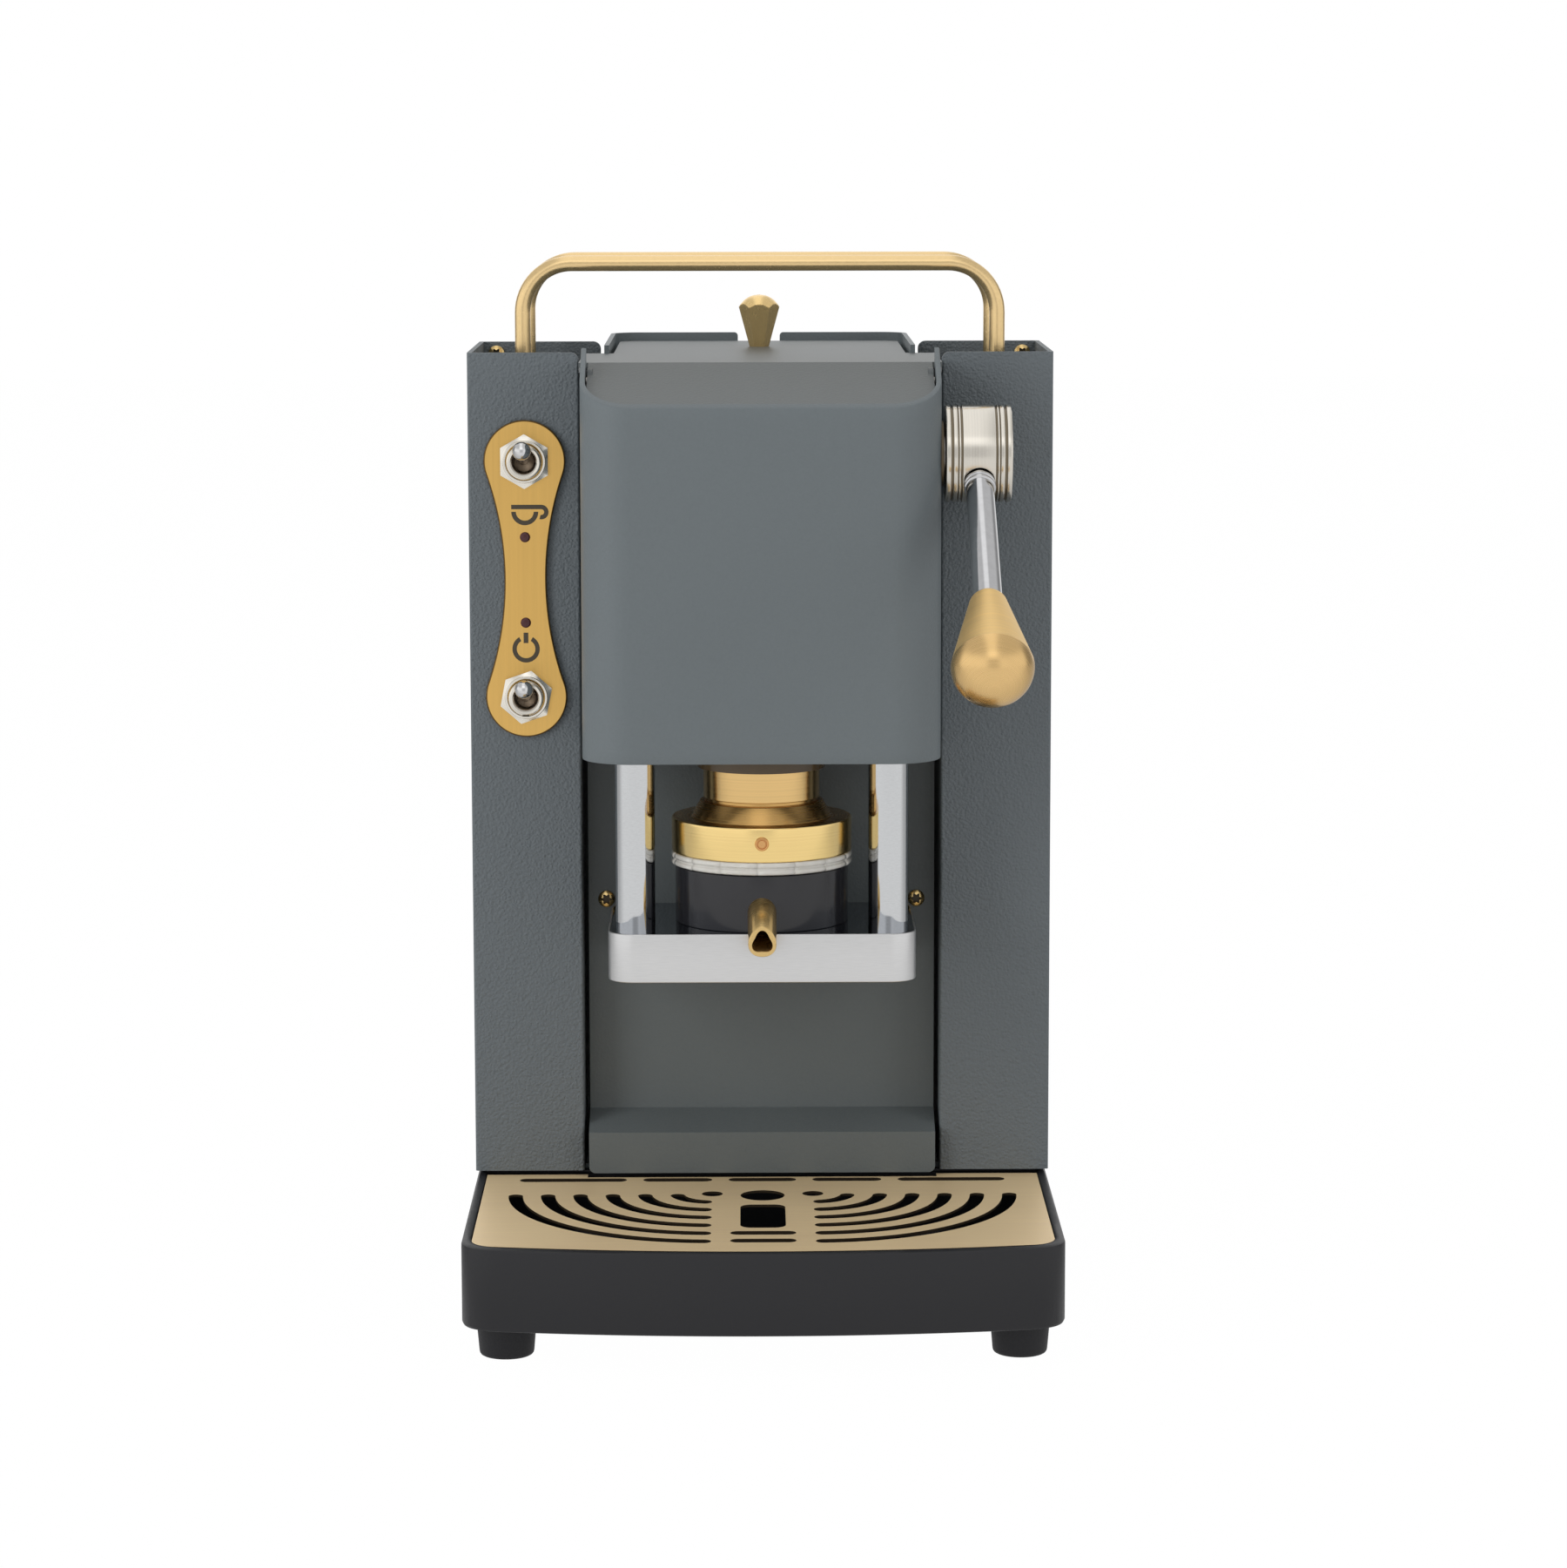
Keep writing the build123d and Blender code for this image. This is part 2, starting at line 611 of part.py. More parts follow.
# Water tank: thin open box with a stub for the outlet valve
tank_wall = 2.0
tank_side_gap = 1.6
tank_drop = 10.0
tank_top = column_top - tank_drop
tank_base = shelf_rise + sheet
tank_corner = 7.0
tank_width = 2 * (tower_half - sheet - tank_side_gap)
tank_depth = tower_depth - 2 * sheet - 2 * tank_side_gap
tank_stub = 5.0
with BuildPart() as water_tank:
    with BuildSketch(Plane.XY.offset(tank_base)):
        with Locations((0, ahead(tank_middle))):
            RectangleRounded(tank_width, tank_depth, tank_corner)
    extrude(amount=tank_top - tank_base)
    with BuildSketch(Plane.XY.offset(tank_base + tank_wall)):
        with Locations((0, ahead(tank_middle))):
            RectangleRounded(
                tank_width - 2 * tank_wall,
                tank_depth - 2 * tank_wall,
                tank_corner - tank_wall,
            )
    extrude(amount=tank_top - tank_base, mode=Mode.SUBTRACT)
    with BuildSketch(Plane.XY.offset(tank_base - tank_stub)):
        with Locations((0, ahead(tank_middle))):
            Circle(tank_spout_radius)
    extrude(amount=tank_stub)
    with BuildSketch(Plane.XY.offset(tank_base - tank_stub)):
        with Locations((0, ahead(tank_middle))):
            Circle(tank_spout_radius - tank_wall)
    extrude(amount=tank_stub + tank_wall, mode=Mode.SUBTRACT)
water_tank.part.label = "water_tank"
export_step(water_tank.part, "parts/water_tank.step")

# Power inlet: three-pin appliance socket set in the back of the tower
inlet_fit = 0.2
inlet_flange = 2.0
inlet_flange_height = 0.5
inlet_depth = 22.0
inlet_recess_depth = 17.0
inlet_rim = 3.0
pin_width = 4.0
pin_thickness = 2.0
pin_pitch = 7.0
with BuildPart() as power_inlet:
    with BuildSketch(Plane.XZ.offset(-ahead(-rear_reach + sheet))):
        with Locations((inlet_x, inlet_rise)):
            Rectangle(inlet_width + 2 * inlet_flange, inlet_height + 2 * inlet_flange)
    extrude(amount=inlet_flange_height)
    with BuildSketch(Plane.XZ.offset(-ahead(-rear_reach))):
        with Locations((inlet_x, inlet_rise)):
            Rectangle(inlet_width - 2 * inlet_fit, inlet_height - 2 * inlet_fit)
    extrude(amount=inlet_depth)
    with BuildSketch(Plane.XZ.offset(-ahead(-rear_reach))):
        with Locations((inlet_x, inlet_rise)):
            Rectangle(inlet_width - 2 * inlet_rim, inlet_height - 2 * inlet_rim)
    extrude(amount=inlet_recess_depth, mode=Mode.SUBTRACT)
    with BuildSketch(Plane.XZ.offset(-ahead(-rear_reach + inlet_rim))):
        with Locations(
            (inlet_x - pin_pitch, inlet_rise - pin_thickness),
            (inlet_x, inlet_rise + pin_thickness),
            (inlet_x + pin_pitch, inlet_rise - pin_thickness),
        ):
            Rectangle(pin_thickness, pin_width)
    extrude(amount=inlet_recess_depth)
power_inlet.part.label = "power_inlet"
export_step(power_inlet.part, "parts/power_inlet.step")

# Lower plate: thick polished slab bolted to the panel, centred under the group
plate_overhang = 0.75
plate_reach = group_ahead + ring_radius + plate_overhang
plate_thick = 14.7
plate_corner = 8.0
plate_edge = 0.5
with BuildPart() as lower_plate:
    with BuildSketch(Plane.XY.offset(holder_base - plate_thick)):
        with Locations((0, ahead((plate_reach + panel_ahead) / 2))):
            RectangleRounded(2 * half_plate, plate_reach - panel_ahead, plate_corner)
    extrude(amount=plate_thick)
    chamfer(lower_plate.faces().sort_by(Axis.Z)[-1].edges(), plate_edge)
lower_plate.part.label = "lower_plate"
export_step(lower_plate.part, "parts/lower_plate.step")

# Upper plate: closes the hood from below and guides the piston between the guide columns
upper_plate_lift = 5.5
upper_plate_base = hood_base + upper_plate_lift
upper_plate_thick = 12.0
guide_ahead = 24.0
neck_inset = 9.65
neck_radius = ring_radius - neck_inset
collar_margin = 3.2
collar_outer = neck_radius + collar_margin
collar_drop = 4.0
collar_base = hood_base - collar_drop
collar_thick = sheet
with BuildPart() as upper_plate:
    with BuildSketch(Plane.XY.offset(upper_plate_base)):
        add(fronted_face(2 * (half_hood - sheet), hood_reach - sheet, panel_ahead, hood_corner - sheet))
        with Locations((-guide_x, ahead(guide_ahead)), (guide_x, ahead(guide_ahead))):
            Circle(guide_radius, mode=Mode.SUBTRACT)
        with Locations((0, ahead(group_ahead))):
            Circle(collar_outer - collar_thick, mode=Mode.SUBTRACT)
    extrude(amount=upper_plate_thick)
upper_plate.part.label = "upper_plate"
export_step(upper_plate.part, "parts/upper_plate.step")

# Guide collar: black flanged bush in the upper plate that the piston slides in
collar_flange = 2.0
with BuildPart() as guide_collar:
    with BuildSketch(Plane.XY.offset(collar_base)):
        with Locations((0, ahead(group_ahead))):
            Circle(collar_outer - collar_thick)
    extrude(amount=upper_plate_base + upper_plate_thick - collar_base)
    with BuildSketch(Plane.XY.offset(upper_plate_base - collar_flange)):
        with Locations((0, ahead(group_ahead))):
            Circle(collar_outer)
    extrude(amount=collar_flange)
    with BuildSketch(Plane.XY.offset(collar_base)):
        with Locations((0, ahead(group_ahead))):
            Circle(neck_radius + running_gap)
    extrude(amount=upper_plate_base + upper_plate_thick - collar_base, mode=Mode.SUBTRACT)
guide_collar.part.label = "guide_collar"
export_step(guide_collar.part, "parts/guide_collar.step")

# Guide columns: polished bars between the two plates, each with a nut on top
guide_nut_height = 5.0
guide_nut_radius = 8.0
for side, sign in (("left", -1), ("right", 1)):
    with BuildPart() as guide_column:
        with BuildSketch(Plane.XY.offset(holder_base)):
            with Locations((sign * guide_x, ahead(guide_ahead))):
                Circle(guide_radius)
        extrude(amount=upper_plate_base + upper_plate_thick - holder_base + guide_nut_height)
        with BuildSketch(Plane.XY.offset(upper_plate_base + upper_plate_thick)):
            with Locations((sign * guide_x, ahead(guide_ahead))):
                RegularPolygon(guide_nut_radius, 6)
        extrude(amount=guide_nut_height)
    guide_column.part.label = f"guide_column_{side}"
    export_step(guide_column.part, f"parts/guide_column_{side}.step")

# Piston: turned brass head, cone and neck, with a slotted yoke that the crank pin lifts
gasket_lift = 17.5
gasket_thick = 3.8
ring_height = 10.5
ring_edge = 0.7
gasket_base = holder_base + gasket_lift
ring_base = gasket_base + gasket_thick
ring_top = ring_base + ring_height
cone_inset = 5.95
cone_radius = ring_radius - cone_inset
cone_foot = 0.9
cone_neck_radius = neck_radius + cone_foot
cone_height = 4.9
cone_top = ring_top + cone_height
neck_groove = 1.0
groove_radius = neck_radius - neck_groove
groove_height = 1.0
groove_top = cone_top + groove_height
neck_drop = 21.7
neck_top = pivot_height - neck_drop
yoke_half_width = 6.0
yoke_back_ahead = 18.0
yoke_front_ahead = 31.0
yoke_web = 3.0
crank_pin_radius = 2.5
slot_clear = 0.45
crank_half_turn = lever_swing_angle / 2
crank_throw = piston_travel / (2 * sin(radians(crank_half_turn)))
crank_ahead = pivot_ahead + crank_throw * cos(radians(crank_half_turn))
crank_height = pivot_height - piston_travel / 2
slot_end_ahead = pivot_ahead + crank_throw
slot_radius = crank_pin_radius + slot_clear
pin_radius = 2.1
pin_lift = 5.8
pin_rise = ring_base + pin_lift
pin_depth = 6.0
with BuildPart() as piston:
    with BuildSketch(turning_plane((0, ahead(group_ahead), 0), (0, 0, 1))):
        Polygon(
            (0, ring_base),
            (ring_radius, ring_base),
            (ring_radius, ring_top),
            (cone_radius, ring_top),
            (cone_neck_radius, cone_top),
            (groove_radius, cone_top),
            (groove_radius, groove_top),
            (neck_radius, groove_top),
            (neck_radius, neck_top),
            (0, neck_top),
            align=None,
        )
    revolve(axis=Axis((0, ahead(group_ahead), 0), (0, 0, 1)))
    rims = piston.edges().filter_by(GeomType.CIRCLE)
    chamfer(rims.filter_by(lambda e: e.radius > ring_radius - ring_edge), ring_edge)
    with BuildSketch(Plane.YZ.offset(-yoke_half_width)):
        with BuildLine():
            Polyline(
                (ahead(yoke_front_ahead), neck_top - overrun),
                (ahead(yoke_front_ahead), crank_height + slot_radius + yoke_web),
                (ahead(yoke_back_ahead), crank_height + slot_radius + yoke_web),
                (ahead(yoke_back_ahead), neck_top - overrun),
                close=True,
            )
        make_face()
    extrude(amount=2 * yoke_half_width)
    with BuildSketch(Plane.YZ.offset(-yoke_half_width - overrun)):
        with Locations((ahead((crank_ahead + slot_end_ahead) / 2), crank_height)):
            SlotCenterToCenter(slot_end_ahead - crank_ahead + slot_clear, 2 * slot_radius)
    extrude(amount=2 * yoke_half_width + 2 * overrun, mode=Mode.SUBTRACT)
    with BuildSketch(Plane.XZ.offset(-ahead(group_ahead + ring_radius - pin_depth))):
        with Locations((0, pin_rise)):
            Circle(pin_radius)
    extrude(amount=pin_depth + overrun, mode=Mode.SUBTRACT)
piston.part.label = "piston"
export_step(piston.part, "parts/piston.step")

# Piston pin: plain brass pin in the front of the head
pin_stand = 0.5
with BuildPart() as piston_pin:
    with BuildSketch(Plane.XZ.offset(-ahead(group_ahead + ring_radius - pin_depth))):
        with Locations((0, pin_rise)):
            Circle(pin_radius)
    extrude(amount=pin_depth + pin_stand)
    chamfer(piston_pin.edges().filter_by(GeomType.CIRCLE).group_by(Axis.Y)[0], pin_stand)
piston_pin.part.label = "piston_pin"
export_step(piston_pin.part, "parts/piston_pin.step")

# Gasket: clear ring under the piston head, its outside a little bulged
gasket_rim = 0.3
gasket_lip = 0.2
gasket_radius = ring_radius + gasket_rim
gasket_bore = pod_radius + gasket_lip
gasket_bulge = 0.5
with BuildPart() as gasket:
    with BuildSketch(turning_plane((0, ahead(group_ahead), 0), (0, 0, 1))):
        Polygon(
            (gasket_radius - gasket_bulge, ring_base),
            (gasket_bore, ring_base),
            (gasket_bore, gasket_base),
            (gasket_radius - gasket_bulge, gasket_base),
            (gasket_radius, (gasket_base + ring_base) / 2),
            align=None,
        )
    revolve(axis=Axis((0, ahead(group_ahead), 0), (0, 0, 1)))
gasket.part.label = "gasket"
export_step(gasket.part, "parts/gasket.step")

# Shower screen: drilled disc inside the gasket
screen_thick = 1.6
screen_gap = 0.2
screen_hole_radius = 1.1
screen_ring_shares = ((6, 0.36), (6, 0.74))
with BuildPart() as shower_screen:
    with BuildSketch(Plane.XY.offset(ring_base - screen_thick)):
        with Locations((0, ahead(group_ahead))):
            Circle(gasket_bore - screen_gap)
            for count, radius_share in screen_ring_shares:
                with PolarLocations(gasket_bore * radius_share, count):
                    Circle(screen_hole_radius, mode=Mode.SUBTRACT)
    extrude(amount=screen_thick)
shower_screen.part.label = "shower_screen"
export_step(shower_screen.part, "parts/shower_screen.step")

# Pod holder: black cup on the lower plate, with a seat for a 44 mm pod and a drain
holder_wall = 3.35
holder_radius = pod_radius + holder_wall
holder_top = gasket_base - seat_gap
pod_depth = 6.0
holder_edge = 0.4
drain_radius = 3.0
drain_depth = 6.5
spout_radius = 4.35
spout_slope = 26.5
spout_tip_ahead = 57.0
spout_start_ahead = 41.6
spout_drop = 0.6
spout_rise = holder_base - spout_drop
spout_wall = 1.1
spout_fall = sin(radians(spout_slope)) / cos(radians(spout_slope))
spout_start_rise = spout_rise + (spout_tip_ahead - spout_start_ahead) * spout_fall
spout_direction = (0, -cos(radians(spout_slope)), -sin(radians(spout_slope)))
with BuildPart() as pod_holder:
    with BuildSketch(Plane.XY.offset(holder_base)):
        with Locations((0, ahead(group_ahead))):
            Circle(holder_radius)
    extrude(amount=holder_top - holder_base)
    chamfer(pod_holder.edges().filter_by(GeomType.CIRCLE).group_by(Axis.Z)[-1], holder_edge)
    with BuildSketch(Plane.XY.offset(holder_top - pod_depth)):
        with Locations((0, ahead(group_ahead))):
            Circle(pod_radius)
    extrude(amount=pod_depth, mode=Mode.SUBTRACT)
    with BuildSketch(Plane.XY.offset(holder_top - pod_depth - drain_depth)):
        with Locations((0, ahead(group_ahead))):
            Circle(drain_radius)
    extrude(amount=drain_depth + overrun, mode=Mode.SUBTRACT)
    with BuildSketch(Plane.XZ.offset(-ahead(group_ahead))):
        with Locations((0, spout_start_rise)):
            Circle(drain_radius - spout_wall / 2)
    extrude(amount=spout_start_ahead - group_ahead + overrun, mode=Mode.SUBTRACT)
    with BuildSketch(Plane.XZ.offset(-ahead(spout_start_ahead))):
        with Locations((0, spout_start_rise)):
            Ellipse(spout_radius, spout_radius / cos(radians(spout_slope)))
    extrude(amount=holder_radius, dir=spout_direction, mode=Mode.SUBTRACT)
pod_holder.part.label = "pod_holder"
export_step(pod_holder.part, "parts/pod_holder.step")

# Spout: brass tube that leans out of the holder, its mouth cut upright
spout_run = (spout_tip_ahead - spout_start_ahead) / cos(radians(spout_slope))
with BuildPart() as spout:
    with BuildSketch(Plane.XZ.offset(-ahead(spout_start_ahead))):
        with Locations((0, spout_start_rise)):
            Ellipse(spout_radius, spout_radius / cos(radians(spout_slope)))
            Ellipse(
                spout_radius - spout_wall,
                (spout_radius - spout_wall) / cos(radians(spout_slope)),
                mode=Mode.SUBTRACT,
            )
    extrude(amount=spout_run, dir=spout_direction)
spout.part.label = "spout"
export_step(spout.part, "parts/spout.step")

# Lever hub: drum with ring grooves, like an engine piston laid on its side
hub_gap = 0.4
bush_flange = 0.9
hub_inner_x = half_hood + bush_flange + hub_gap
hub_length = 19.8
hub_radius = 14.55
hub_edge = 0.5
groove_depth = 0.55
groove_shares = ((0.075, 0.117), (0.177, 0.197), (0.222, 0.255))
rod_radius = 4.2
rod_hole_radius = 4.55
rod_hole_depth = 9.0
shaft_radius = 5.0
shaft_seat = 8.0
lever_direction = (0, -cos(radians(lever_slope)), -sin(radians(lever_slope)))
pivot = (0, ahead(pivot_ahead), pivot_height)
hub_middle = hub_inner_x + hub_length / 2
hub_pivot = (hub_middle, ahead(pivot_ahead), pivot_height)
with BuildPart() as lever_hub:
    with BuildSketch(Plane.YZ.offset(hub_inner_x)):
        with Locations((ahead(pivot_ahead), pivot_height)):
            Circle(hub_radius)
    extrude(amount=hub_length)
    chamfer(lever_hub.edges().filter_by(GeomType.CIRCLE), hub_edge)
    for start, end in groove_shares:
        for groove_x in (hub_inner_x + start * hub_length, hub_inner_x + (1 - end) * hub_length):
            with BuildSketch(Plane.YZ.offset(groove_x)):
                with Locations((ahead(pivot_ahead), pivot_height)):
                    Circle(hub_radius + overrun)
                    Circle(hub_radius - groove_depth, mode=Mode.SUBTRACT)
            extrude(amount=(end - start) * hub_length, mode=Mode.SUBTRACT)
    with BuildSketch(Plane.YZ.offset(hub_inner_x)):
        with Locations((ahead(pivot_ahead), pivot_height)):
            Circle(shaft_radius)
    extrude(amount=shaft_seat, mode=Mode.SUBTRACT)
    rod_seat = hub_radius - rod_hole_depth
    seat_point = Vector(*hub_pivot) + Vector(*lever_direction) * rod_seat
    with BuildSketch(Plane(origin=seat_point, z_dir=lever_direction)):
        Circle(rod_hole_radius)
    extrude(amount=rod_hole_depth + overrun, mode=Mode.SUBTRACT)
lever_hub.part.label = "lever_hub"
export_step(lever_hub.part, "parts/lever_hub.step")

# Lever rod: plain bar with two small rings where it leaves the hub, and a spigot for the knob
ring_starts = (15.4, 17.1)
rod_ring_width = 1.1
rod_ring_radius = 4.75
spigot_radius = 2.6
spigot_length = 12.0
with BuildPart() as lever_rod:
    with BuildSketch(turning_plane(hub_pivot, lever_direction)):
        Polygon(
            (0, rod_seat),
            (rod_radius, rod_seat),
            (rod_radius, knob_start),
            (spigot_radius, knob_start),
            (spigot_radius, knob_start + spigot_length),
            (0, knob_start + spigot_length),
            align=None,
        )
        for start in ring_starts:
            Polygon(
                (rod_radius / 2, start),
                (rod_ring_radius, start),
                (rod_ring_radius, start + rod_ring_width),
                (rod_radius / 2, start + rod_ring_width),
                align=None,
            )
    revolve(axis=Axis(hub_pivot, lever_direction))
lever_rod.part.label = "lever_rod"
export_step(lever_rod.part, "parts/lever_rod.step")

# Lever knob: brass cone that widens to a shallow dome
knob_top_radius = 5.4
knob_top_flat = 4.3
knob_top_round = 1.6
with BuildPart() as lever_knob:
    with BuildSketch(turning_plane(hub_pivot, lever_direction)):
        Polygon(
            (0, knob_start + spigot_length),
            (spigot_radius, knob_start + spigot_length),
            (spigot_radius, knob_start),
            (knob_top_flat, knob_start),
            (knob_top_radius, knob_start + knob_top_round),
            *crown_arc(knob_rim, knob_end_radius, knob_dome),
            align=None,
        )
    revolve(axis=Axis(hub_pivot, lever_direction))
lever_knob.part.label = "lever_knob"
export_step(lever_knob.part, "parts/lever_knob.step")

# Lever shaft: crankshaft across the hood, its pin in the piston's yoke
cheek_inner = yoke_half_width + slide_gap
cheek_thick = 3.5
cheek_margin = 1.6
left_end_x = -half_hood + sheet / 2
with BuildPart() as lever_shaft:
    for start, end in ((left_end_x, -cheek_inner), (cheek_inner, hub_inner_x + shaft_seat)):
        with BuildSketch(Plane.YZ.offset(start)):
            with Locations((ahead(pivot_ahead), pivot_height)):
                Circle(shaft_radius)
        extrude(amount=end - start)
    with BuildSketch(Plane.YZ.offset(-cheek_inner)):
        with Locations((ahead(crank_ahead), crank_height)):
            Circle(crank_pin_radius)
    extrude(amount=2 * cheek_inner)
    for start in (-cheek_inner - cheek_thick, cheek_inner):
        with BuildSketch(Plane.YZ.offset(start)):
            with Locations((ahead(pivot_ahead), pivot_height)):
                Circle(shaft_radius + cheek_margin)
            with Locations((ahead(crank_ahead), crank_height)):
                Circle(crank_pin_radius + cheek_margin)
            make_hull()
        extrude(amount=cheek_thick)
lever_shaft.part.label = "lever_shaft"
export_step(lever_shaft.part, "parts/lever_shaft.step")

# Shaft bushes: brass, pressed into the hood's side walls
bush_flange_radius = 9.8
bush_inner_length = 3.0
with BuildPart() as shaft_bushes:
    with BuildSketch(Plane.YZ.offset(half_hood - sheet - bush_inner_length)):
        with Locations((ahead(pivot_ahead), pivot_height)):
            Circle(bush_outer_radius)
            Circle(shaft_radius + running_gap, mode=Mode.SUBTRACT)
    extrude(amount=sheet + bush_inner_length)
    with BuildSketch(Plane.YZ.offset(half_hood)):
        with Locations((ahead(pivot_ahead), pivot_height)):
            Circle(bush_flange_radius)
            Circle(shaft_radius + running_gap, mode=Mode.SUBTRACT)
    extrude(amount=bush_flange)
    with BuildSketch(Plane.YZ.offset(-half_hood)):
        with Locations((ahead(pivot_ahead), pivot_height)):
            Circle(bush_outer_radius)
            Circle(shaft_radius + running_gap, mode=Mode.SUBTRACT)
    extrude(amount=sheet + bush_inner_length)
shaft_bushes.part.label = "shaft_bushes"
export_step(shaft_bushes.part, "parts/shaft_bushes.step")

# Switch plate: two round lobes joined by a waist of tangent arcs
lobe_radius = 13.0
waist_half = 6.6
switch_plate_thick = 1.6
waist_radius = (switch_half_span**2 + waist_half**2 - lobe_radius**2) / (2 * (lobe_radius - waist_half))
waist_centre = waist_radius + waist_half
lobe_turn = lobe_radius / (lobe_radius + waist_radius)
touch_x = waist_centre * lobe_turn
touch_z = switch_half_span * (1 - lobe_turn)
switch_plane = Plane(origin=(switch_x, column_face, switch_rise), x_dir=(1, 0, 0), z_dir=(0, -1, 0))
with BuildPart() as switch_plate:
    with BuildSketch(switch_plane):
        with BuildLine():
            ThreePointArc((touch_x, touch_z), (0, switch_half_span + lobe_radius), (-touch_x, touch_z))
            ThreePointArc((-touch_x, touch_z), (-waist_half, 0), (-touch_x, -touch_z))
            ThreePointArc((-touch_x, -touch_z), (0, -switch_half_span - lobe_radius), (touch_x, -touch_z))
            ThreePointArc((touch_x, -touch_z), (waist_half, 0), (touch_x, touch_z))
        make_face()
        with Locations((0, -switch_half_span), (0, switch_half_span)):
            Circle(bushing_radius + running_gap, mode=Mode.SUBTRACT)
        with Locations(*[(0, rise - switch_rise) for rise in indicator_rise]):
            Circle(indicator_radius + running_gap, mode=Mode.SUBTRACT)
    extrude(amount=switch_plate_thick)
switch_plate.part.label = "switch_plate"
export_step(switch_plate.part, "parts/switch_plate.step")

# Toggle switches: bodies inside the column, threaded bushings through the plate
bushing_stand = 7.6
bushing_bore = 4.45
bushing_bore_depth = 9.0
switch_body_width = 17.0
switch_body_height = 28.0
switch_body_depth = 22.0
terminal_length = 7.0
terminal_width = 5.0
terminal_pitch = 9.0
toggle_rises = (-switch_half_span, switch_half_span)
with BuildPart() as toggle_bodies:
    with BuildSketch(switch_plane.offset(-sheet)):
        with Locations(*[(0, rise) for rise in toggle_rises]):
            Circle(bushing_radius)
    extrude(amount=bushing_stand + sheet)
    with BuildSketch(switch_plane.offset(-sheet)):
        with Locations(*[(0, rise) for rise in toggle_rises]):
            Rectangle(switch_body_width, switch_body_height)
    extrude(amount=-switch_body_depth)
    with BuildSketch(switch_plane.offset(-sheet - switch_body_depth)):
        for rise in toggle_rises:
            with Locations((0, rise - terminal_pitch), (0, rise), (0, rise + terminal_pitch)):
                Rectangle(terminal_width, sheet / 2)
    extrude(amount=-terminal_length)
    with BuildSketch(switch_plane.offset(bushing_stand - bushing_bore_depth)):
        with Locations(*[(0, rise) for rise in toggle_rises]):
            Circle(bushing_bore)
    extrude(amount=bushing_bore_depth, mode=Mode.SUBTRACT)
toggle_bodies.part.label = "toggle_bodies"
export_step(toggle_bodies.part, "parts/toggle_bodies.step")

# Toggle nuts: hexagons that clamp the bushings, the lower one left a little askew
toggle_nut_flats = 14.4
toggle_nut_height = 2.6
toggle_nut_turns = (10, 30)
with BuildPart() as toggle_nuts:
    for rise, turn in zip(toggle_rises, toggle_nut_turns):
        with BuildSketch(switch_plane.offset(switch_plate_thick)):
            with Locations((0, rise)):
                RegularPolygon(toggle_nut_flats / 2, 6, major_radius=False, rotation=turn)
                Circle(bushing_radius + running_gap, mode=Mode.SUBTRACT)
        extrude(amount=toggle_nut_height)
toggle_nuts.part.label = "toggle_nuts"
export_step(toggle_nuts.part, "parts/toggle_nuts.step")

# Toggle levers: bats on a ball inside each bushing, thrown up
toggle_throw = 15.0
ball_radius = 3.4
ball_stand = 2.6
bat_root_radius = 1.7
bat_tip_radius = 2.8
bat_length = 19.5
toggle_direction = (0, -cos(radians(toggle_throw)), sin(radians(toggle_throw)))
for name, rise in (("lower", toggle_rises[0]), ("upper", toggle_rises[1])):
    toggle_pivot = (switch_x, column_face - ball_stand, switch_rise + rise)
    with BuildPart() as toggle:
        with BuildSketch(turning_plane(toggle_pivot, toggle_direction)):
            Polygon(
                *turned_arc(0, ball_radius, 0, pi - asin(bat_root_radius / ball_radius)),
                *turned_arc(bat_length - bat_tip_radius, bat_tip_radius, pi / 2, pi),
                align=None,
            )
        revolve(axis=Axis(toggle_pivot, toggle_direction))
    toggle.part.label = f"toggle_{name}"
    export_step(toggle.part, f"parts/toggle_{name}.step")

# Indicators: dark red lenses pushed through the plate
indicator_stand = 0.6
indicator_chamfer = 0.5
indicator_tail = 5.0
with BuildPart() as indicators:
    with BuildSketch(switch_plane.offset(-sheet - indicator_tail)):
        with Locations(*[(0, rise - switch_rise) for rise in indicator_rise]):
            Circle(indicator_radius)
    extrude(amount=sheet + indicator_tail + switch_plate_thick + indicator_stand)
    chamfer(indicators.edges().filter_by(GeomType.CIRCLE).group_by(Axis.Y)[0], indicator_chamfer)
indicators.part.label = "indicators"
export_step(indicators.part, "parts/indicators.step")

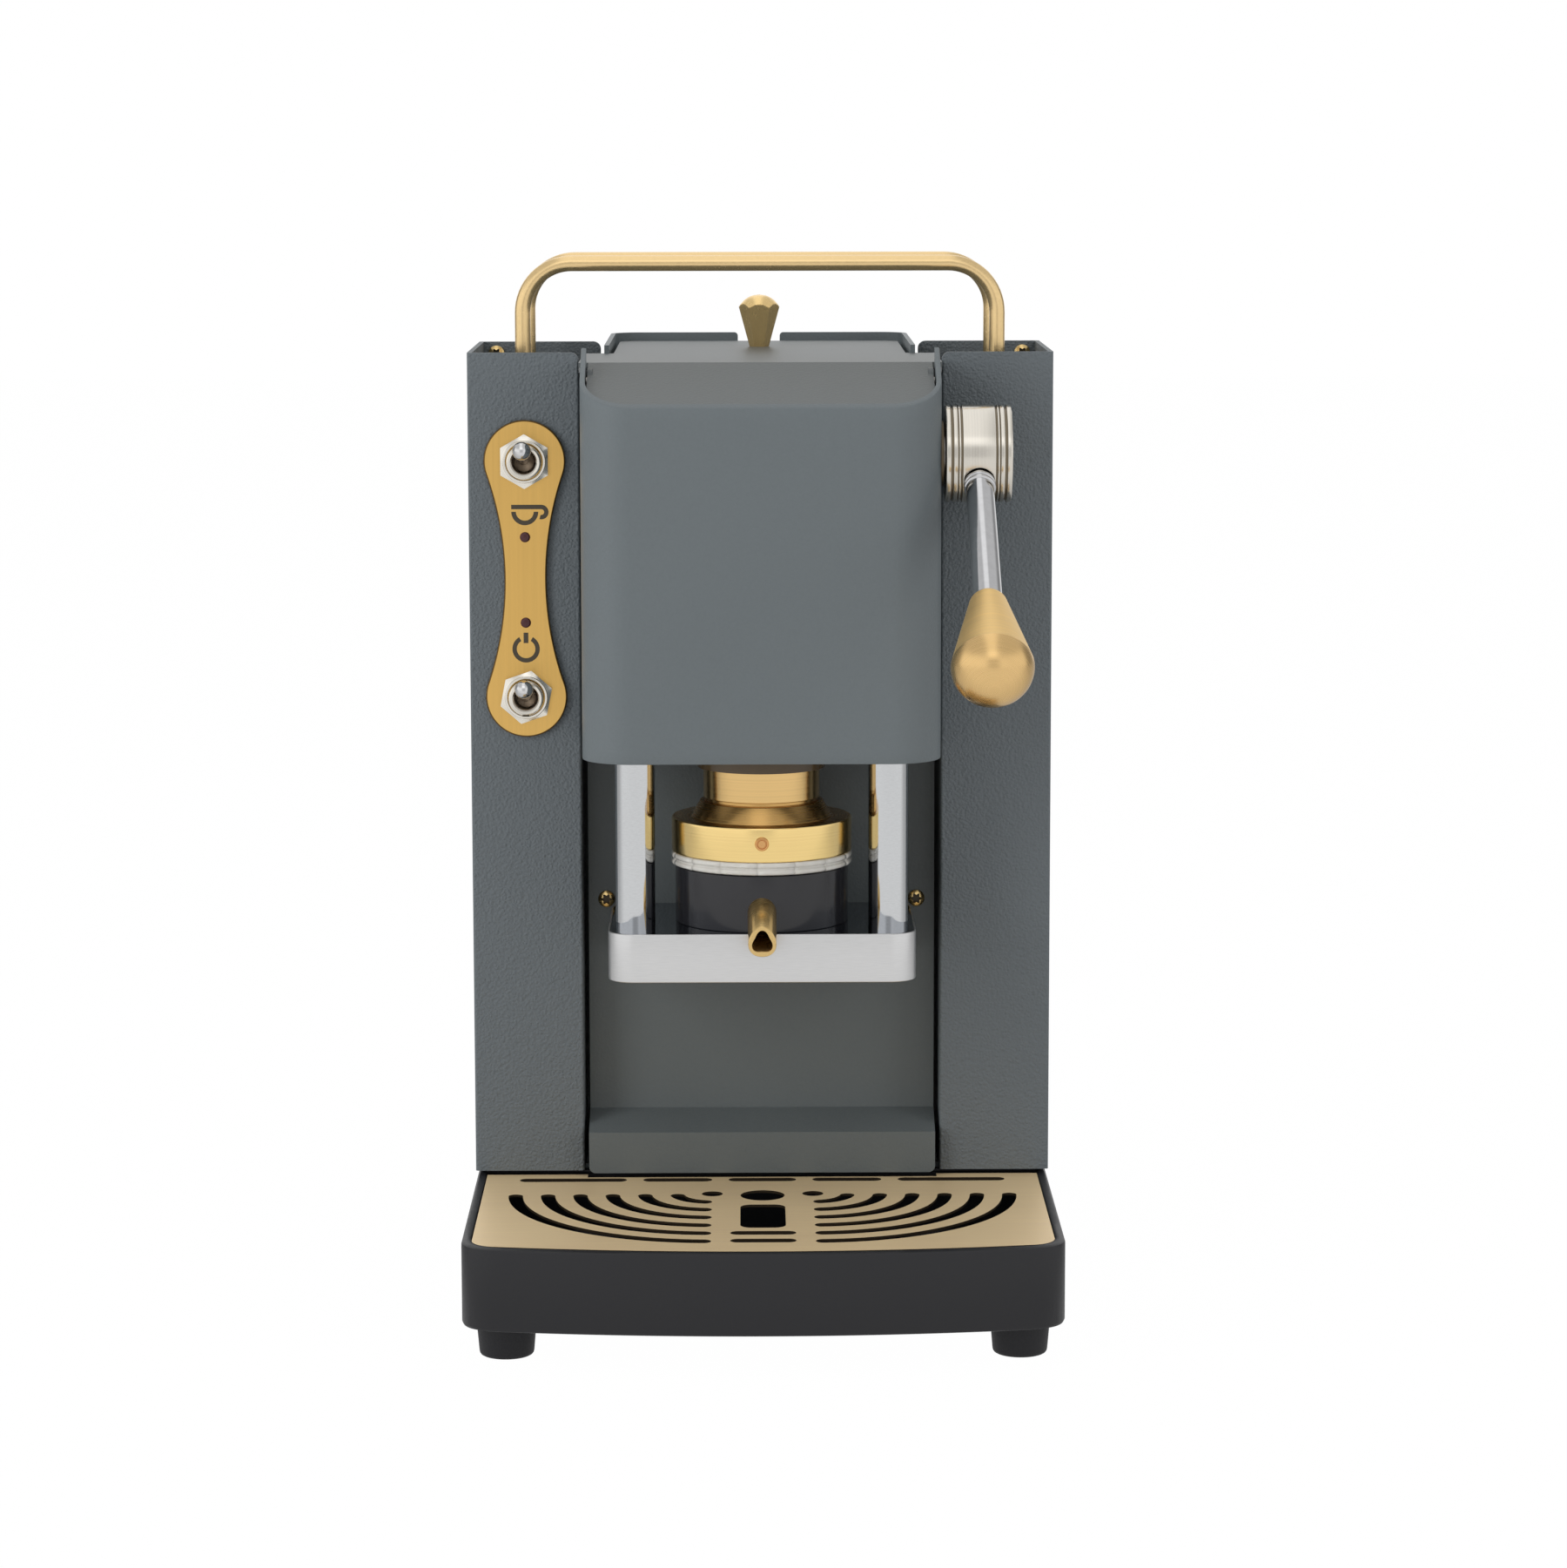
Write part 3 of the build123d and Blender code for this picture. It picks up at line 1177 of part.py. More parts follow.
# Drip tray: black moulded basin with a skirt that hides the base plate
tray_ledge = 1.8
tray_floor_base = base_plate_top + slide_gap
tray_floor = 2.2
tray_skirt_base = foot_height + seat_gap
tray_corner = 9.0
grille_thick = 0.8
grille_gap = 0.3
rim_inset = tray_wall
ledge_inset = tray_wall + tray_ledge
with BuildPart() as drip_tray:
    with BuildSketch(Plane.XY.offset(tray_skirt_base)):
        add(bowed_face(half_tray, tray_back_ahead, tray_corner_ahead, tray_bow_ahead, tray_corner))
    extrude(amount=tray_top - tray_skirt_base)
    with BuildSketch(Plane.XY.offset(tray_skirt_base - overrun)):
        add(
            bowed_face(
                half_tray - tray_wall,
                tray_back_ahead - overrun,
                tray_corner_ahead - tray_wall,
                tray_bow_ahead - tray_wall,
                tray_corner - tray_wall,
            )
        )
    extrude(amount=tray_floor_base - tray_skirt_base + overrun, mode=Mode.SUBTRACT)
    with BuildSketch(Plane.XY.offset(tray_floor_base + tray_floor)):
        add(
            bowed_face(
                half_tray - ledge_inset,
                tray_back_ahead + tray_wall,
                tray_corner_ahead - ledge_inset,
                tray_bow_ahead - ledge_inset,
                tray_corner - tray_ledge,
            )
        )
    extrude(amount=tray_top, mode=Mode.SUBTRACT)
    with BuildSketch(Plane.XY.offset(tray_top - grille_thick)):
        add(
            bowed_face(
                half_tray - rim_inset,
                tray_back_ahead + tray_wall,
                tray_corner_ahead - rim_inset,
                tray_bow_ahead - rim_inset,
                tray_corner - rim_inset / 2,
            )
        )
    extrude(amount=grille_thick + overrun, mode=Mode.SUBTRACT)
drip_tray.part.label = "drip_tray"
export_step(drip_tray.part, "parts/drip_tray.step")

# Drip grille: brushed sheet with six nested quarter arcs each side of a centre row
grille_inset = rim_inset + grille_gap
grille_back_ahead = slide_gap
grille_notch_ahead = panel_foot_ahead + slide_gap
slot_width = 4.4
arc_centre_x = 15.3
arc_centre_ahead = 27.0
arc_first = 10.7
arc_margin = 13.2
arc_count = 6
arc_pitch = (half_tray - arc_margin - arc_centre_x - arc_first) / (arc_count - 1)
eye_radius = 3.2
drain_hole_radius = 6.7
drain_hole_share = 0.28545
cup_slot_width = 13.5
cup_slot_length_share = 0.28636
cup_slot_share = 0.54545
cup_slot_round = 3.4
front_slot_length = 19.4
front_slot_shares = (0.75, 0.84182)
back_slot_ahead = 8.2
back_slot_shares = ((-0.847, -0.473), (-0.416, -0.175), (-0.118, 0.118), (0.175, 0.416), (0.473, 0.847))
with BuildPart() as drip_grille:
    with BuildSketch(Plane.XY.offset(tray_top - grille_thick)):
        add(
            bowed_face(
                half_tray - grille_inset,
                grille_back_ahead,
                tray_corner_ahead - grille_inset,
                tray_bow_ahead - grille_inset,
                tray_corner - rim_inset / 2,
            )
        )
        with Locations((0, column_face)):
            Rectangle(panel_width + 2 * slide_gap, 2 * grille_notch_ahead, mode=Mode.SUBTRACT)
    extrude(amount=grille_thick)
    with BuildSketch(Plane.XY.offset(tray_top - grille_thick)):
        for sign, start_angle in ((-1, 180), (1, 270)):
            arc_centre = (sign * arc_centre_x, ahead(arc_centre_ahead))
            with Locations(arc_centre):
                Circle(eye_radius)
            for step in range(arc_count):
                radius = arc_first + step * arc_pitch
                trim = 180 / pi * (slot_width / 2) / radius
                with BuildLine(mode=Mode.PRIVATE) as slot_line:
                    CenterArc(arc_centre, radius, start_angle + trim, 90 - 2 * trim)
                SlotArc(slot_line.edges()[0], slot_width)
        with Locations((0, ahead(drain_hole_share * tray_bow_ahead))):
            Circle(drain_hole_radius)
        with Locations((0, ahead(cup_slot_share * tray_bow_ahead))):
            RectangleRounded(cup_slot_width, cup_slot_length_share * tray_bow_ahead, cup_slot_round)
        for slot_share in front_slot_shares:
            with Locations((0, ahead(slot_share * tray_bow_ahead))):
                SlotOverall(front_slot_length, slot_width)
        for start, end in back_slot_shares:
            with Locations((half_tray * (start + end) / 2, ahead(back_slot_ahead))):
                SlotOverall(half_tray * (end - start), slot_width)
    extrude(amount=grille_thick, mode=Mode.SUBTRACT)
drip_grille.part.label = "drip_grille"
export_step(drip_grille.part, "parts/drip_grille.step")

# Boiler shelf: folded bracket between the splash panel and the tank tower
bracket_top_drop = 100.0
shelf_base = column_top - bracket_top_drop
boiler_radius = 13.8
boiler_height = 52.0
boiler_ahead = (panel_ahead - sheet + tower_front_ahead) / 2
bracket_half = 26.0
bracket_drop = 9.0
bracket_back = panel_ahead - sheet
with BuildPart() as boiler_bracket:
    with BuildSketch(Plane.YZ.offset(-bracket_half)):
        Polygon(
            (ahead(bracket_back), shelf_base + sheet),
            (ahead(tower_front_ahead), shelf_base + sheet),
            (ahead(tower_front_ahead), shelf_base - bracket_drop),
            (ahead(tower_front_ahead + sheet), shelf_base - bracket_drop),
            (ahead(tower_front_ahead + sheet), shelf_base),
            (ahead(bracket_back - sheet), shelf_base),
            (ahead(bracket_back - sheet), shelf_base - bracket_drop),
            (ahead(bracket_back), shelf_base - bracket_drop),
            align=None,
        )
    extrude(amount=2 * bracket_half)
boiler_bracket.part.label = "boiler_bracket"
export_step(boiler_bracket.part, "parts/boiler_bracket.step")

# Boiler: small upright brass vessel with a flanged lid and an inlet stub
boiler_flange = 1.4
boiler_flange_height = 4.0
boiler_dome = 3.0
stub_radius = 3.0
stub_length = 4.0
stub_share = 0.4
boiler_base = shelf_base + sheet
stub_x = stub_share * boiler_radius
with BuildPart() as boiler:
    with BuildSketch(Plane.XY.offset(boiler_base)):
        with Locations((0, ahead(boiler_ahead))):
            Circle(boiler_radius)
    extrude(amount=boiler_height)
    chamfer(boiler.edges().filter_by(GeomType.CIRCLE).group_by(Axis.Z)[-1], boiler_dome)
    with BuildSketch(Plane.XY.offset(boiler_base + boiler_height / 2)):
        with Locations((0, ahead(boiler_ahead))):
            Circle(boiler_radius + boiler_flange)
    extrude(amount=boiler_flange_height)
    with BuildSketch(Plane.XY.offset(boiler_base + boiler_height - overrun)):
        with Locations((stub_x, ahead(boiler_ahead))):
            Circle(stub_radius)
    extrude(amount=stub_length + overrun)
boiler.part.label = "boiler"
export_step(boiler.part, "parts/boiler.step")

# Pump: coil block on the plinth with a core tube through it
pump_ahead = boiler_ahead
coil_width = 34.0
coil_depth = 29.0
coil_height = 40.0
core_radius = 10.0
core_length = 62.0
nozzle_radius = 3.0
nozzle_length = 8.0
pump_x = -8.0
core_rise = plinth_top + coil_height / 2
with BuildPart() as pump:
    with BuildSketch(Plane.XY.offset(plinth_top)):
        with Locations((pump_x, ahead(pump_ahead))):
            RectangleRounded(coil_width, coil_depth, sheet)
    extrude(amount=coil_height)
    with BuildSketch(Plane.YZ.offset(pump_x - core_length / 2)):
        with Locations((ahead(pump_ahead), core_rise)):
            Circle(core_radius)
    extrude(amount=core_length)
    with BuildSketch(Plane.YZ.offset(pump_x + core_length / 2)):
        with Locations((ahead(pump_ahead), core_rise)):
            Circle(nozzle_radius)
    extrude(amount=nozzle_length)
pump.part.label = "pump"
export_step(pump.part, "parts/pump.step")

# Feed hose: bent tube from the pump's nozzle up to the boiler's stub
hose_radius = 3.0
hose_bend = 7.0
hose_x = 41.0
hose_start_x = pump_x + core_length / 2 + nozzle_length
hose_top = boiler_base + boiler_height + stub_length + 3 * hose_bend / 2
with BuildPart() as feed_hose:
    with BuildLine():
        FilletPolyline(
            (hose_start_x, ahead(pump_ahead), core_rise),
            (hose_x, ahead(pump_ahead), core_rise),
            (hose_x, ahead(pump_ahead), hose_top),
            (stub_x, ahead(pump_ahead), hose_top),
            (stub_x, ahead(pump_ahead), boiler_base + boiler_height + stub_length),
            radius=hose_bend,
        )
    with BuildSketch(Plane(origin=(hose_start_x, ahead(pump_ahead), core_rise), z_dir=(1, 0, 0))):
        Circle(hose_radius)
    sweep()
feed_hose.part.label = "feed_hose"
export_step(feed_hose.part, "parts/feed_hose.step")

# Control board: upright card on four posts inside the right column
board_height = 70.0
board_depth = 46.0
board_thick = 1.6
post_radius = 2.0
post_length = 5.0
board_drop = 141.0
board_rise = column_top - board_drop
post_inset = 4.0
relay_width = 12.0
relay_depth = 15.0
relay_height = 19.0
board_x = half_body - sheet - post_length
with BuildPart() as control_board:
    with BuildSketch(Plane.YZ.offset(board_x)):
        with Locations((ahead(-column_depth / 2), board_rise)):
            Rectangle(board_depth, board_height)
    extrude(amount=-board_thick)
    with BuildSketch(Plane.YZ.offset(board_x)):
        with Locations((ahead(-column_depth / 2), board_rise)):
            with GridLocations(board_depth - 2 * post_inset, board_height - 2 * post_inset, 2, 2):
                Circle(post_radius)
    extrude(amount=post_length)
    with BuildSketch(Plane.YZ.offset(board_x - board_thick)):
        with Locations((ahead(-column_depth / 2), board_rise)):
            with GridLocations(board_depth / 2, board_height / 3, 2, 2):
                Rectangle(relay_depth, relay_height)
    extrude(amount=-relay_width)
control_board.part.label = "control_board"
export_step(control_board.part, "parts/control_board.step")
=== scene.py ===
import bmesh
import bpy
import numpy as np
from mathutils import Matrix, Vector


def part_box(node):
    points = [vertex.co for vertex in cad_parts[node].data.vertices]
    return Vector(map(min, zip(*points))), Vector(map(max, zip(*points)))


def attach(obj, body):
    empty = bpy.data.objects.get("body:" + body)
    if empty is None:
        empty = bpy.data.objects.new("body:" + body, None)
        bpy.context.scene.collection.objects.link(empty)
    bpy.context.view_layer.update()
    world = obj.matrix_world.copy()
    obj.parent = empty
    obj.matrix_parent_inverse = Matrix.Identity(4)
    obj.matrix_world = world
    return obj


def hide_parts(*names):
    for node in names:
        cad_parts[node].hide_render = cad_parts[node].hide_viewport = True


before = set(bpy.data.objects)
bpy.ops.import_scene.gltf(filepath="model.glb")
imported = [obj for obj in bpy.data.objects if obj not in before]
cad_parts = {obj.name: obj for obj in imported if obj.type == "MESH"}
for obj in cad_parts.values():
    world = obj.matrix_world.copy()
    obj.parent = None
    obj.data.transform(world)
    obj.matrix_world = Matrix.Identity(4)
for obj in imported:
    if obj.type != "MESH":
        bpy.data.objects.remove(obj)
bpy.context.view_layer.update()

# The studio: a pale floor, two tall soft boxes beside the camera and one overhead, and a
# camera a step and a half away, a little above the machine.
front_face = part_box("column_left")[0][1]
eye = Vector((-0.00506, front_face - 1.40122, 0.3627))
pitch, yaw, roll = np.radians((8.272, -0.486, -0.1))
sight = Vector((-np.sin(yaw) * np.cos(pitch), np.cos(yaw) * np.cos(pitch), -np.sin(pitch)))
level = Vector((np.cos(yaw), np.sin(yaw), 0))
upright = level.cross(sight)
camera = bpy.data.objects.new("camera", bpy.data.cameras.new("camera"))
camera.data.sensor_width = 36.0
camera.data.lens = 106.01
camera.data.clip_start, camera.data.clip_end = 0.05, 30.0
turned_level = level * np.cos(roll) + upright * np.sin(roll)
turned_up = upright * np.cos(roll) - level * np.sin(roll)
pose = Matrix((turned_level, turned_up, -sight)).transposed().to_4x4()
pose.translation = eye
camera.matrix_world = pose
bpy.context.scene.collection.objects.link(camera)
bpy.context.scene.camera = camera
bpy.context.scene.view_settings.view_transform = "Standard"


class Lead:
    """One socket in a node tree. Arithmetic on a Lead adds Math nodes to that tree."""

    def __init__(self, tree, socket=None):
        self.tree = tree
        self.socket = socket

    def node(self, kind, settings=None, sockets=None, output=0):
        """Adds a node: its settings first, then a value or a Lead for each socket. Gives one output."""
        made = self.tree.nodes.new(kind)
        for key, value in (settings or {}).items():
            if key == "stops":
                ramp = made.color_ramp.elements
                for _ in range(len(value) - len(ramp)):
                    ramp.new(1.0)
                for stop, (place, colour) in zip(ramp, value):
                    stop.position = place
                    stop.color = (*colour, 1.0)
            else:
                setattr(made, key, value)
        for key, value in (sockets or {}).items():
            target = made.inputs[key]
            if isinstance(value, Lead):
                self.tree.links.new(value.socket, target)
            elif target.type == "RGBA" and len(value) == 3:
                target.default_value = (*value, 1.0)
            else:
                target.default_value = value
        return Lead(self.tree, made.outputs[output] if made.outputs else None)

    def maths(self, operation, *terms):
        return self.node("ShaderNodeMath", {"operation": operation}, dict(enumerate(terms)))

    def __add__(self, other):
        return self.maths("ADD", self, other)

    __radd__ = __add__

    def __sub__(self, other):
        return self.maths("SUBTRACT", self, other)

    def __rsub__(self, other):
        return self.maths("SUBTRACT", other, self)

    def __mul__(self, other):
        return self.maths("MULTIPLY", self, other)

    __rmul__ = __mul__

    def tint(self, low, high):
        """Colour that goes from low to high as this Lead goes from 0 to 1."""
        return self.node("ShaderNodeMix", {"data_type": "RGBA"}, {0: self, 6: low, 7: high}, output=2)

    def part(self, axis):
        """The X, Y or Z of a vector."""
        return self.node("ShaderNodeSeparateXYZ", None, {"Vector": self}, output=axis)

    def ray(self, kind):
        """1 for rays of this kind, and 0 for others."""
        return self.node("ShaderNodeLightPath", output=f"Is {kind} Ray")

    def vector(self, operation, sockets, output=0):
        """One Vector Math operation."""
        return self.node("ShaderNodeVectorMath", {"operation": operation}, sockets, output)

    def rise(self, start, end):
        """Smooth step: 0 up to start, 1 from end on, and 3t^2 - 2t^3 between them."""
        sockets = {"Value": self, "From Min": start, "From Max": end}
        return self.node("ShaderNodeMapRange", {"interpolation_type": "SMOOTHSTEP"}, sockets)

    def noise(self, place, scale, detail):
        """Noise from 0 to 1 over a place, with scale features to the unit of that place."""
        return self.node("ShaderNodeTexNoise", None, {"Vector": place, "Scale": scale, "Detail": detail})

    def bump(self, relief, depth, height):
        """Normal of a surface that height lifts by up to depth metres, at the strength relief."""
        return self.node("ShaderNodeBump", None, {"Strength": relief, "Distance": depth, "Height": height})

    def surface(self, sockets):
        """Ends the tree in a Principled shader with these values and Leads in its sockets."""
        shader = self.node("ShaderNodeBsdfPrincipled", None, sockets)
        self.node("ShaderNodeOutputMaterial", None, {"Surface": shader})


def bare_finish(name):
    """Material with an empty tree, and a Lead that adds nodes to it."""
    material = bpy.data.materials.new(name)
    material.use_nodes = True
    material.node_tree.nodes.clear()
    return material, Lead(material.node_tree)


# Floor: a pale painted board that shows white to the camera and keeps the machine's shadow. Where
# polished metal mirrors it, it dims from in front of the machine to its middle.
floor_finish, bench = bare_finish("pale_floor")
seen = bench.maths("MAXIMUM", bench.ray("Camera"), bench.ray("Transmission"))
mirrored = bench.ray("Glossy")
paint = bench.node("ShaderNodeBsdfDiffuse", None, {"Color": (0.85, 0.85, 0.85)})
depthwise = bench.node("ShaderNodeNewGeometry", output="Position").part("Y")
dimmed = bench.node("ShaderNodeMapRange", None, {"Value": depthwise, "From Min": -0.3, "From Max": 0.2}) * 0.4
strength = seen * 1.003 + mirrored * (0.92 - dimmed)
glow = bench.node("ShaderNodeEmission", None, {"Color": (1.0, 1.0, 1.0), "Strength": strength})
share = seen * 0.99 + mirrored * 0.95
floor_mix = bench.node("ShaderNodeMixShader", None, {0: share, 1: paint, 2: glow})
bench.node("ShaderNodeOutputMaterial", None, {"Surface": floor_mix})
floor_mesh = bpy.data.meshes.new("floor")
floor_mesh.from_pydata([(-4, -3, 0), (4, -3, 0), (4, 5, 0), (-4, 5, 0)], [], [(0, 1, 2, 3)])
floor = bpy.data.objects.new("floor", floor_mesh)
floor_mesh.materials.append(floor_finish)
bpy.context.scene.collection.objects.link(floor)

# World: white where it is seen, and an even grey light on the paint. Polished metal mirrors a
# pale room with dim rear corners, a softer wall behind the camera and one long strip overhead.
world = bpy.data.worlds.new("studio")
bpy.context.scene.world = world
world.use_nodes = True
world.node_tree.nodes.clear()
bench = Lead(world.node_tree)
toward = bench.node("ShaderNodeTexCoord", output="Generated")
sideways, depthwise, upwards = toward.part("X"), toward.part("Y"), toward.part("Z")
aside = bench.maths("ABSOLUTE", sideways)
front_wall = (depthwise * -1.0).rise(0.35, 0.85) * (1.0 - aside.rise(0.12, 0.4))
rear_corner = aside.rise(0.5, 0.7) * depthwise.rise(0.1, 0.35)
wall = (1.1 - front_wall * 0.42 - sideways.rise(0.1, 0.7) * 0.12) * (1.0 - rear_corner * 0.7)
off_strip = bench.maths("ABSOLUTE", sideways + 0.06)
ceiling = 0.68 + (1.0 - off_strip.rise(0.12, 0.3)) * 0.45
band = upwards.rise(0.3, 0.42) * (1.0 - upwards.rise(0.62, 0.72)) * front_wall
mirror_light = wall + upwards.rise(0.3, 0.6) * (ceiling - wall) + band * 0.35
seen = bench.maths("MAXIMUM", bench.ray("Camera"), bench.ray("Transmission"))
mirrored = bench.ray("Glossy")
strength = seen + (1.0 - seen) * (mirrored * mirror_light + (1.0 - mirrored) * 0.5)
sky = bench.node("ShaderNodeBackground", None, {"Color": (1.0, 1.0, 1.0), "Strength": strength})
bench.node("ShaderNodeOutputWorld", None, {"Surface": sky})


def soft_box(name, place, aim, wide, high, watts):
    """Area lamp at place, facing aim, that polished metal does not show."""
    lamp = bpy.data.objects.new(name, bpy.data.lights.new(name, "AREA"))
    lamp.data.shape = "RECTANGLE"
    lamp.data.size, lamp.data.size_y, lamp.data.energy = wide, high, watts
    lamp.location = place
    lamp.rotation_euler = (Vector(aim) - Vector(place)).to_track_quat("-Z", "Y").to_euler()
    lamp.visible_glossy = False
    bpy.context.scene.collection.objects.link(lamp)


soft_box("soft_box_left", (-1.45, -1.05, 0.7), (0, 0, 0.16), 0.7, 1.4, 17.0)
soft_box("soft_box_right", (1.5, -0.95, 0.7), (0, 0, 0.16), 0.6, 1.4, 7.0)
soft_box("soft_box_top", (0.0, -0.35, 1.6), (0, 0, 0.15), 1.2, 1.2, 4.0)

# Feet: four tapered black rubber buttons, turned on a mould with a soft lower edge, each
# screwed up into the base plate.
mm = 0.001
face_y = front_face / mm
up = (0, 0, 1)


def eased(line, cut, steps=5, closed=False):
    """Each corner of a line of points becomes a parabola that leaves and meets its sides a cut away
    from it, or a little less than halfway along a short side."""
    line = np.asarray(line, float)
    before, after = np.roll(line, 1, 0), np.roll(line, -1, 0)
    if not closed:
        before, after, inner = before[1:-1], after[1:-1], line[1:-1]
    else:
        inner = line
    cut = np.broadcast_to(np.asarray(cut, float), (len(inner),))[:, None]
    to_before, to_after = before - inner, after - inner
    length_before = np.linalg.norm(to_before, axis=1, keepdims=True)
    length_after = np.linalg.norm(to_after, axis=1, keepdims=True)
    start = inner + to_before / length_before * np.minimum(cut, 0.45 * length_before)
    end = inner + to_after / length_after * np.minimum(cut, 0.45 * length_after)
    t = np.linspace(0, 1, steps)[None, :, None]
    bends = (1 - t) ** 2 * start[:, None] + 2 * t * (1 - t) * inner[:, None] + t**2 * end[:, None]
    bends = bends.reshape(-1, line.shape[1])
    return bends if closed else np.vstack([line[:1], bends, line[-1:]])


def skin(name, points, around=True, along=False, caps=False):
    """Mesh over a grid of points, rows by columns: around joins the last column to the first, along
    joins the last row to the first, and caps closes the first and last row with a flat face."""
    rows, columns = points.shape[:2]
    row = np.arange(rows if along else rows - 1)[:, None]
    column = np.arange(columns if around else columns - 1)[None, :]
    next_row, next_column = (row + 1) % rows, (column + 1) % columns
    corners = (
        row * columns + column,
        row * columns + next_column,
        next_row * columns + next_column,
        next_row * columns + column,
    )
    faces = np.stack(corners, -1).reshape(-1, 4).tolist()
    if caps:
        faces.append(list(range(columns)))
        faces.append(list(range((rows - 1) * columns, rows * columns)))
    mesh = bpy.data.meshes.new(name)
    mesh.from_pydata(points.reshape(-1, 3).tolist(), [], faces)
    return mesh


def joined(name, *meshes):
    """One mesh from several, with doubled points merged and every face turned outwards."""
    gathered = bmesh.new()
    for mesh in meshes:
        gathered.from_mesh(mesh)
    bmesh.ops.remove_doubles(gathered, verts=gathered.verts, dist=1e-7)
    bmesh.ops.dissolve_degenerate(gathered, edges=gathered.edges, dist=1e-8)
    bmesh.ops.recalc_face_normals(gathered, faces=gathered.faces)
    whole = bpy.data.meshes.new(name)
    gathered.to_mesh(whole)
    gathered.free()
    return whole


def fit(name, mesh, finish, body, stands_for=(), crease=32):
    """Puts a mesh in the scene: smooth but for edges sharper than crease, in its finish, on its body."""
    mesh = joined(name, mesh)
    mesh.shade_smooth()
    mesh.set_sharp_from_angle(angle=np.radians(crease))
    mesh.materials.append(finish)
    piece = bpy.data.objects.new(name, mesh)
    bpy.context.scene.collection.objects.link(piece)
    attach(piece, body)
    if stands_for:
        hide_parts(*stands_for)
    return piece


def lathe(name, profile, foot, direction, sides=96, along=False, angles=None, swell=None):
    """Turned surface: each profile point (radius, distance) runs round the axis from foot along
    direction; swell multiplies the radius by a value for each profile point and angle."""
    profile = np.asarray(profile, float)
    axis = np.asarray(direction, float) / np.linalg.norm(direction)
    side = np.cross(axis, (1.0, 0, 0)) if abs(axis[0]) < 0.9 else np.array((0, 0, 1.0))
    side = side / np.linalg.norm(side)
    third = np.cross(axis, side)
    angles = np.linspace(0, 2 * np.pi, sides, endpoint=False) if angles is None else angles
    radius = profile[:, :1] * (1.0 if swell is None else swell)
    radius = np.broadcast_to(radius, (len(profile), len(angles)))[..., None]
    ring = np.cos(angles)[:, None] * side + np.sin(angles)[:, None] * third
    points = np.asarray(foot, float) + profile[:, 1][:, None, None] * axis + radius * ring[None]
    return skin(name, points, along=along)


def shades(colour, dark, light):
    """A colour times dark and times light, with no part above 1."""
    return [c * dark for c in colour], [min(c * light, 1.0) for c in colour]


def moulded(name, colour, roughness, grain, relief):
    """Moulded rubber or plastic: its colour drifts a little, with a fine grain in its surface."""
    material, bench = bare_finish(name)
    place = bench.node("ShaderNodeTexCoord", output="Object")
    drift = bench.noise(place, 35.0, 4.0)
    speck = bench.noise(place, grain, 3.0)
    sockets = {
        "Base Color": (drift * 0.6 + speck * 0.4).tint(*shades(colour, 0.86, 1.14)),
        "Roughness": roughness + (speck - 0.5) * 0.16 + (drift - 0.5) * 0.1,
        "Normal": bench.bump(relief, 0.0002, speck),
        "Specular IOR Level": 0.45,
    }
    bench.surface(sockets)
    return material


rubber = moulded("foot_rubber", (0.006, 0.006, 0.008), 0.6, 1400.0, 0.25)
foot_height, foot_top, foot_tip = 11.7, 9.0, 8.0
recess_radius, recess_height = 2.5, 3.0


def seat(node):
    """Lowest corner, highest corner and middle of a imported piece, in millimetres."""
    low, high = (np.array(corner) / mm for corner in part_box(node))
    return low, high, (low + high) / 2


foot_line = [
    (recess_radius, recess_height),
    (recess_radius, 0),
    (foot_tip, 0),
    (foot_top, foot_height),
    (0, foot_height),
]
foot_line = np.vstack([[(0, recess_height)], eased(foot_line, (0.3, 1.3, 0.6))]) * mm
for end in ("front", "rear"):
    _, foot_high, foot_middle = seat(f"feet_{end}")
    foot_x, foot_y = foot_high[0] - foot_top, foot_middle[1]
    pair = [lathe("foot", foot_line, (side * foot_x * mm, foot_y * mm, 0), up, 64) for side in (-1, 1)]
    fit(f"rubber_feet_{end}", joined("feet", *pair), rubber, "root", [f"feet_{end}"])

# Body sheets: 1.5 mm steel, folded and spot welded, then powder coated in a blue grey. The two
# columns carry a coarse leather grain, and the other sheets a finer one.


def powder_coat(name, colour, pebble, relief, roughness):
    """Baked powder paint: rounded pebbles with thin valleys, a fine orange peel and a slow drift of
    tone. Its colour follows the pebbles' height, so the valleys get painted shade. Pebble is how many
    of them lie on a metre."""
    material, bench = bare_finish(name)
    place = bench.node("ShaderNodeTexCoord", output="Object")
    waver = {"Vector": place, "Scale": pebble * 0.7, "Detail": 2.0}
    bend = bench.node("ShaderNodeTexNoise", None, waver, "Color")
    bent = bench.vector("SCALE", {0: bend, "Scale": 0.9 / pebble})
    bent = bench.vector("ADD", {0: place, 1: bent})
    pebbles = {"Vector": bent, "Scale": pebble, "Smoothness": 0.7}
    cell = bench.node("ShaderNodeTexVoronoi", {"feature": "SMOOTH_F1"}, pebbles, "Distance")
    peel = bench.noise(place, pebble * 2.6, 2.0)
    drift = bench.noise(place, 6.0, 3.0)
    height = 1.0 - cell * 0.8 + peel * 0.35
    sockets = {
        # Base colour: drift and peel, plus the pebbles' height as painted shade in the valleys
        "Base Color": (drift * 0.55 + height * 0.25 + peel * 0.2 - 0.05).tint(*shades(colour, 0.88, 1.12)),
        "Roughness": roughness + (peel - 0.5) * 0.12 + (drift - 0.5) * 0.08,
        "Normal": bench.bump(relief, 0.0003, height),
        "Specular IOR Level": 0.4,
    }
    bench.surface(sockets)
    return material


def dress(finish, *names):
    """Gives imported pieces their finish."""
    for name in names:
        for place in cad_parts[name].material_slots:
            place.material = finish


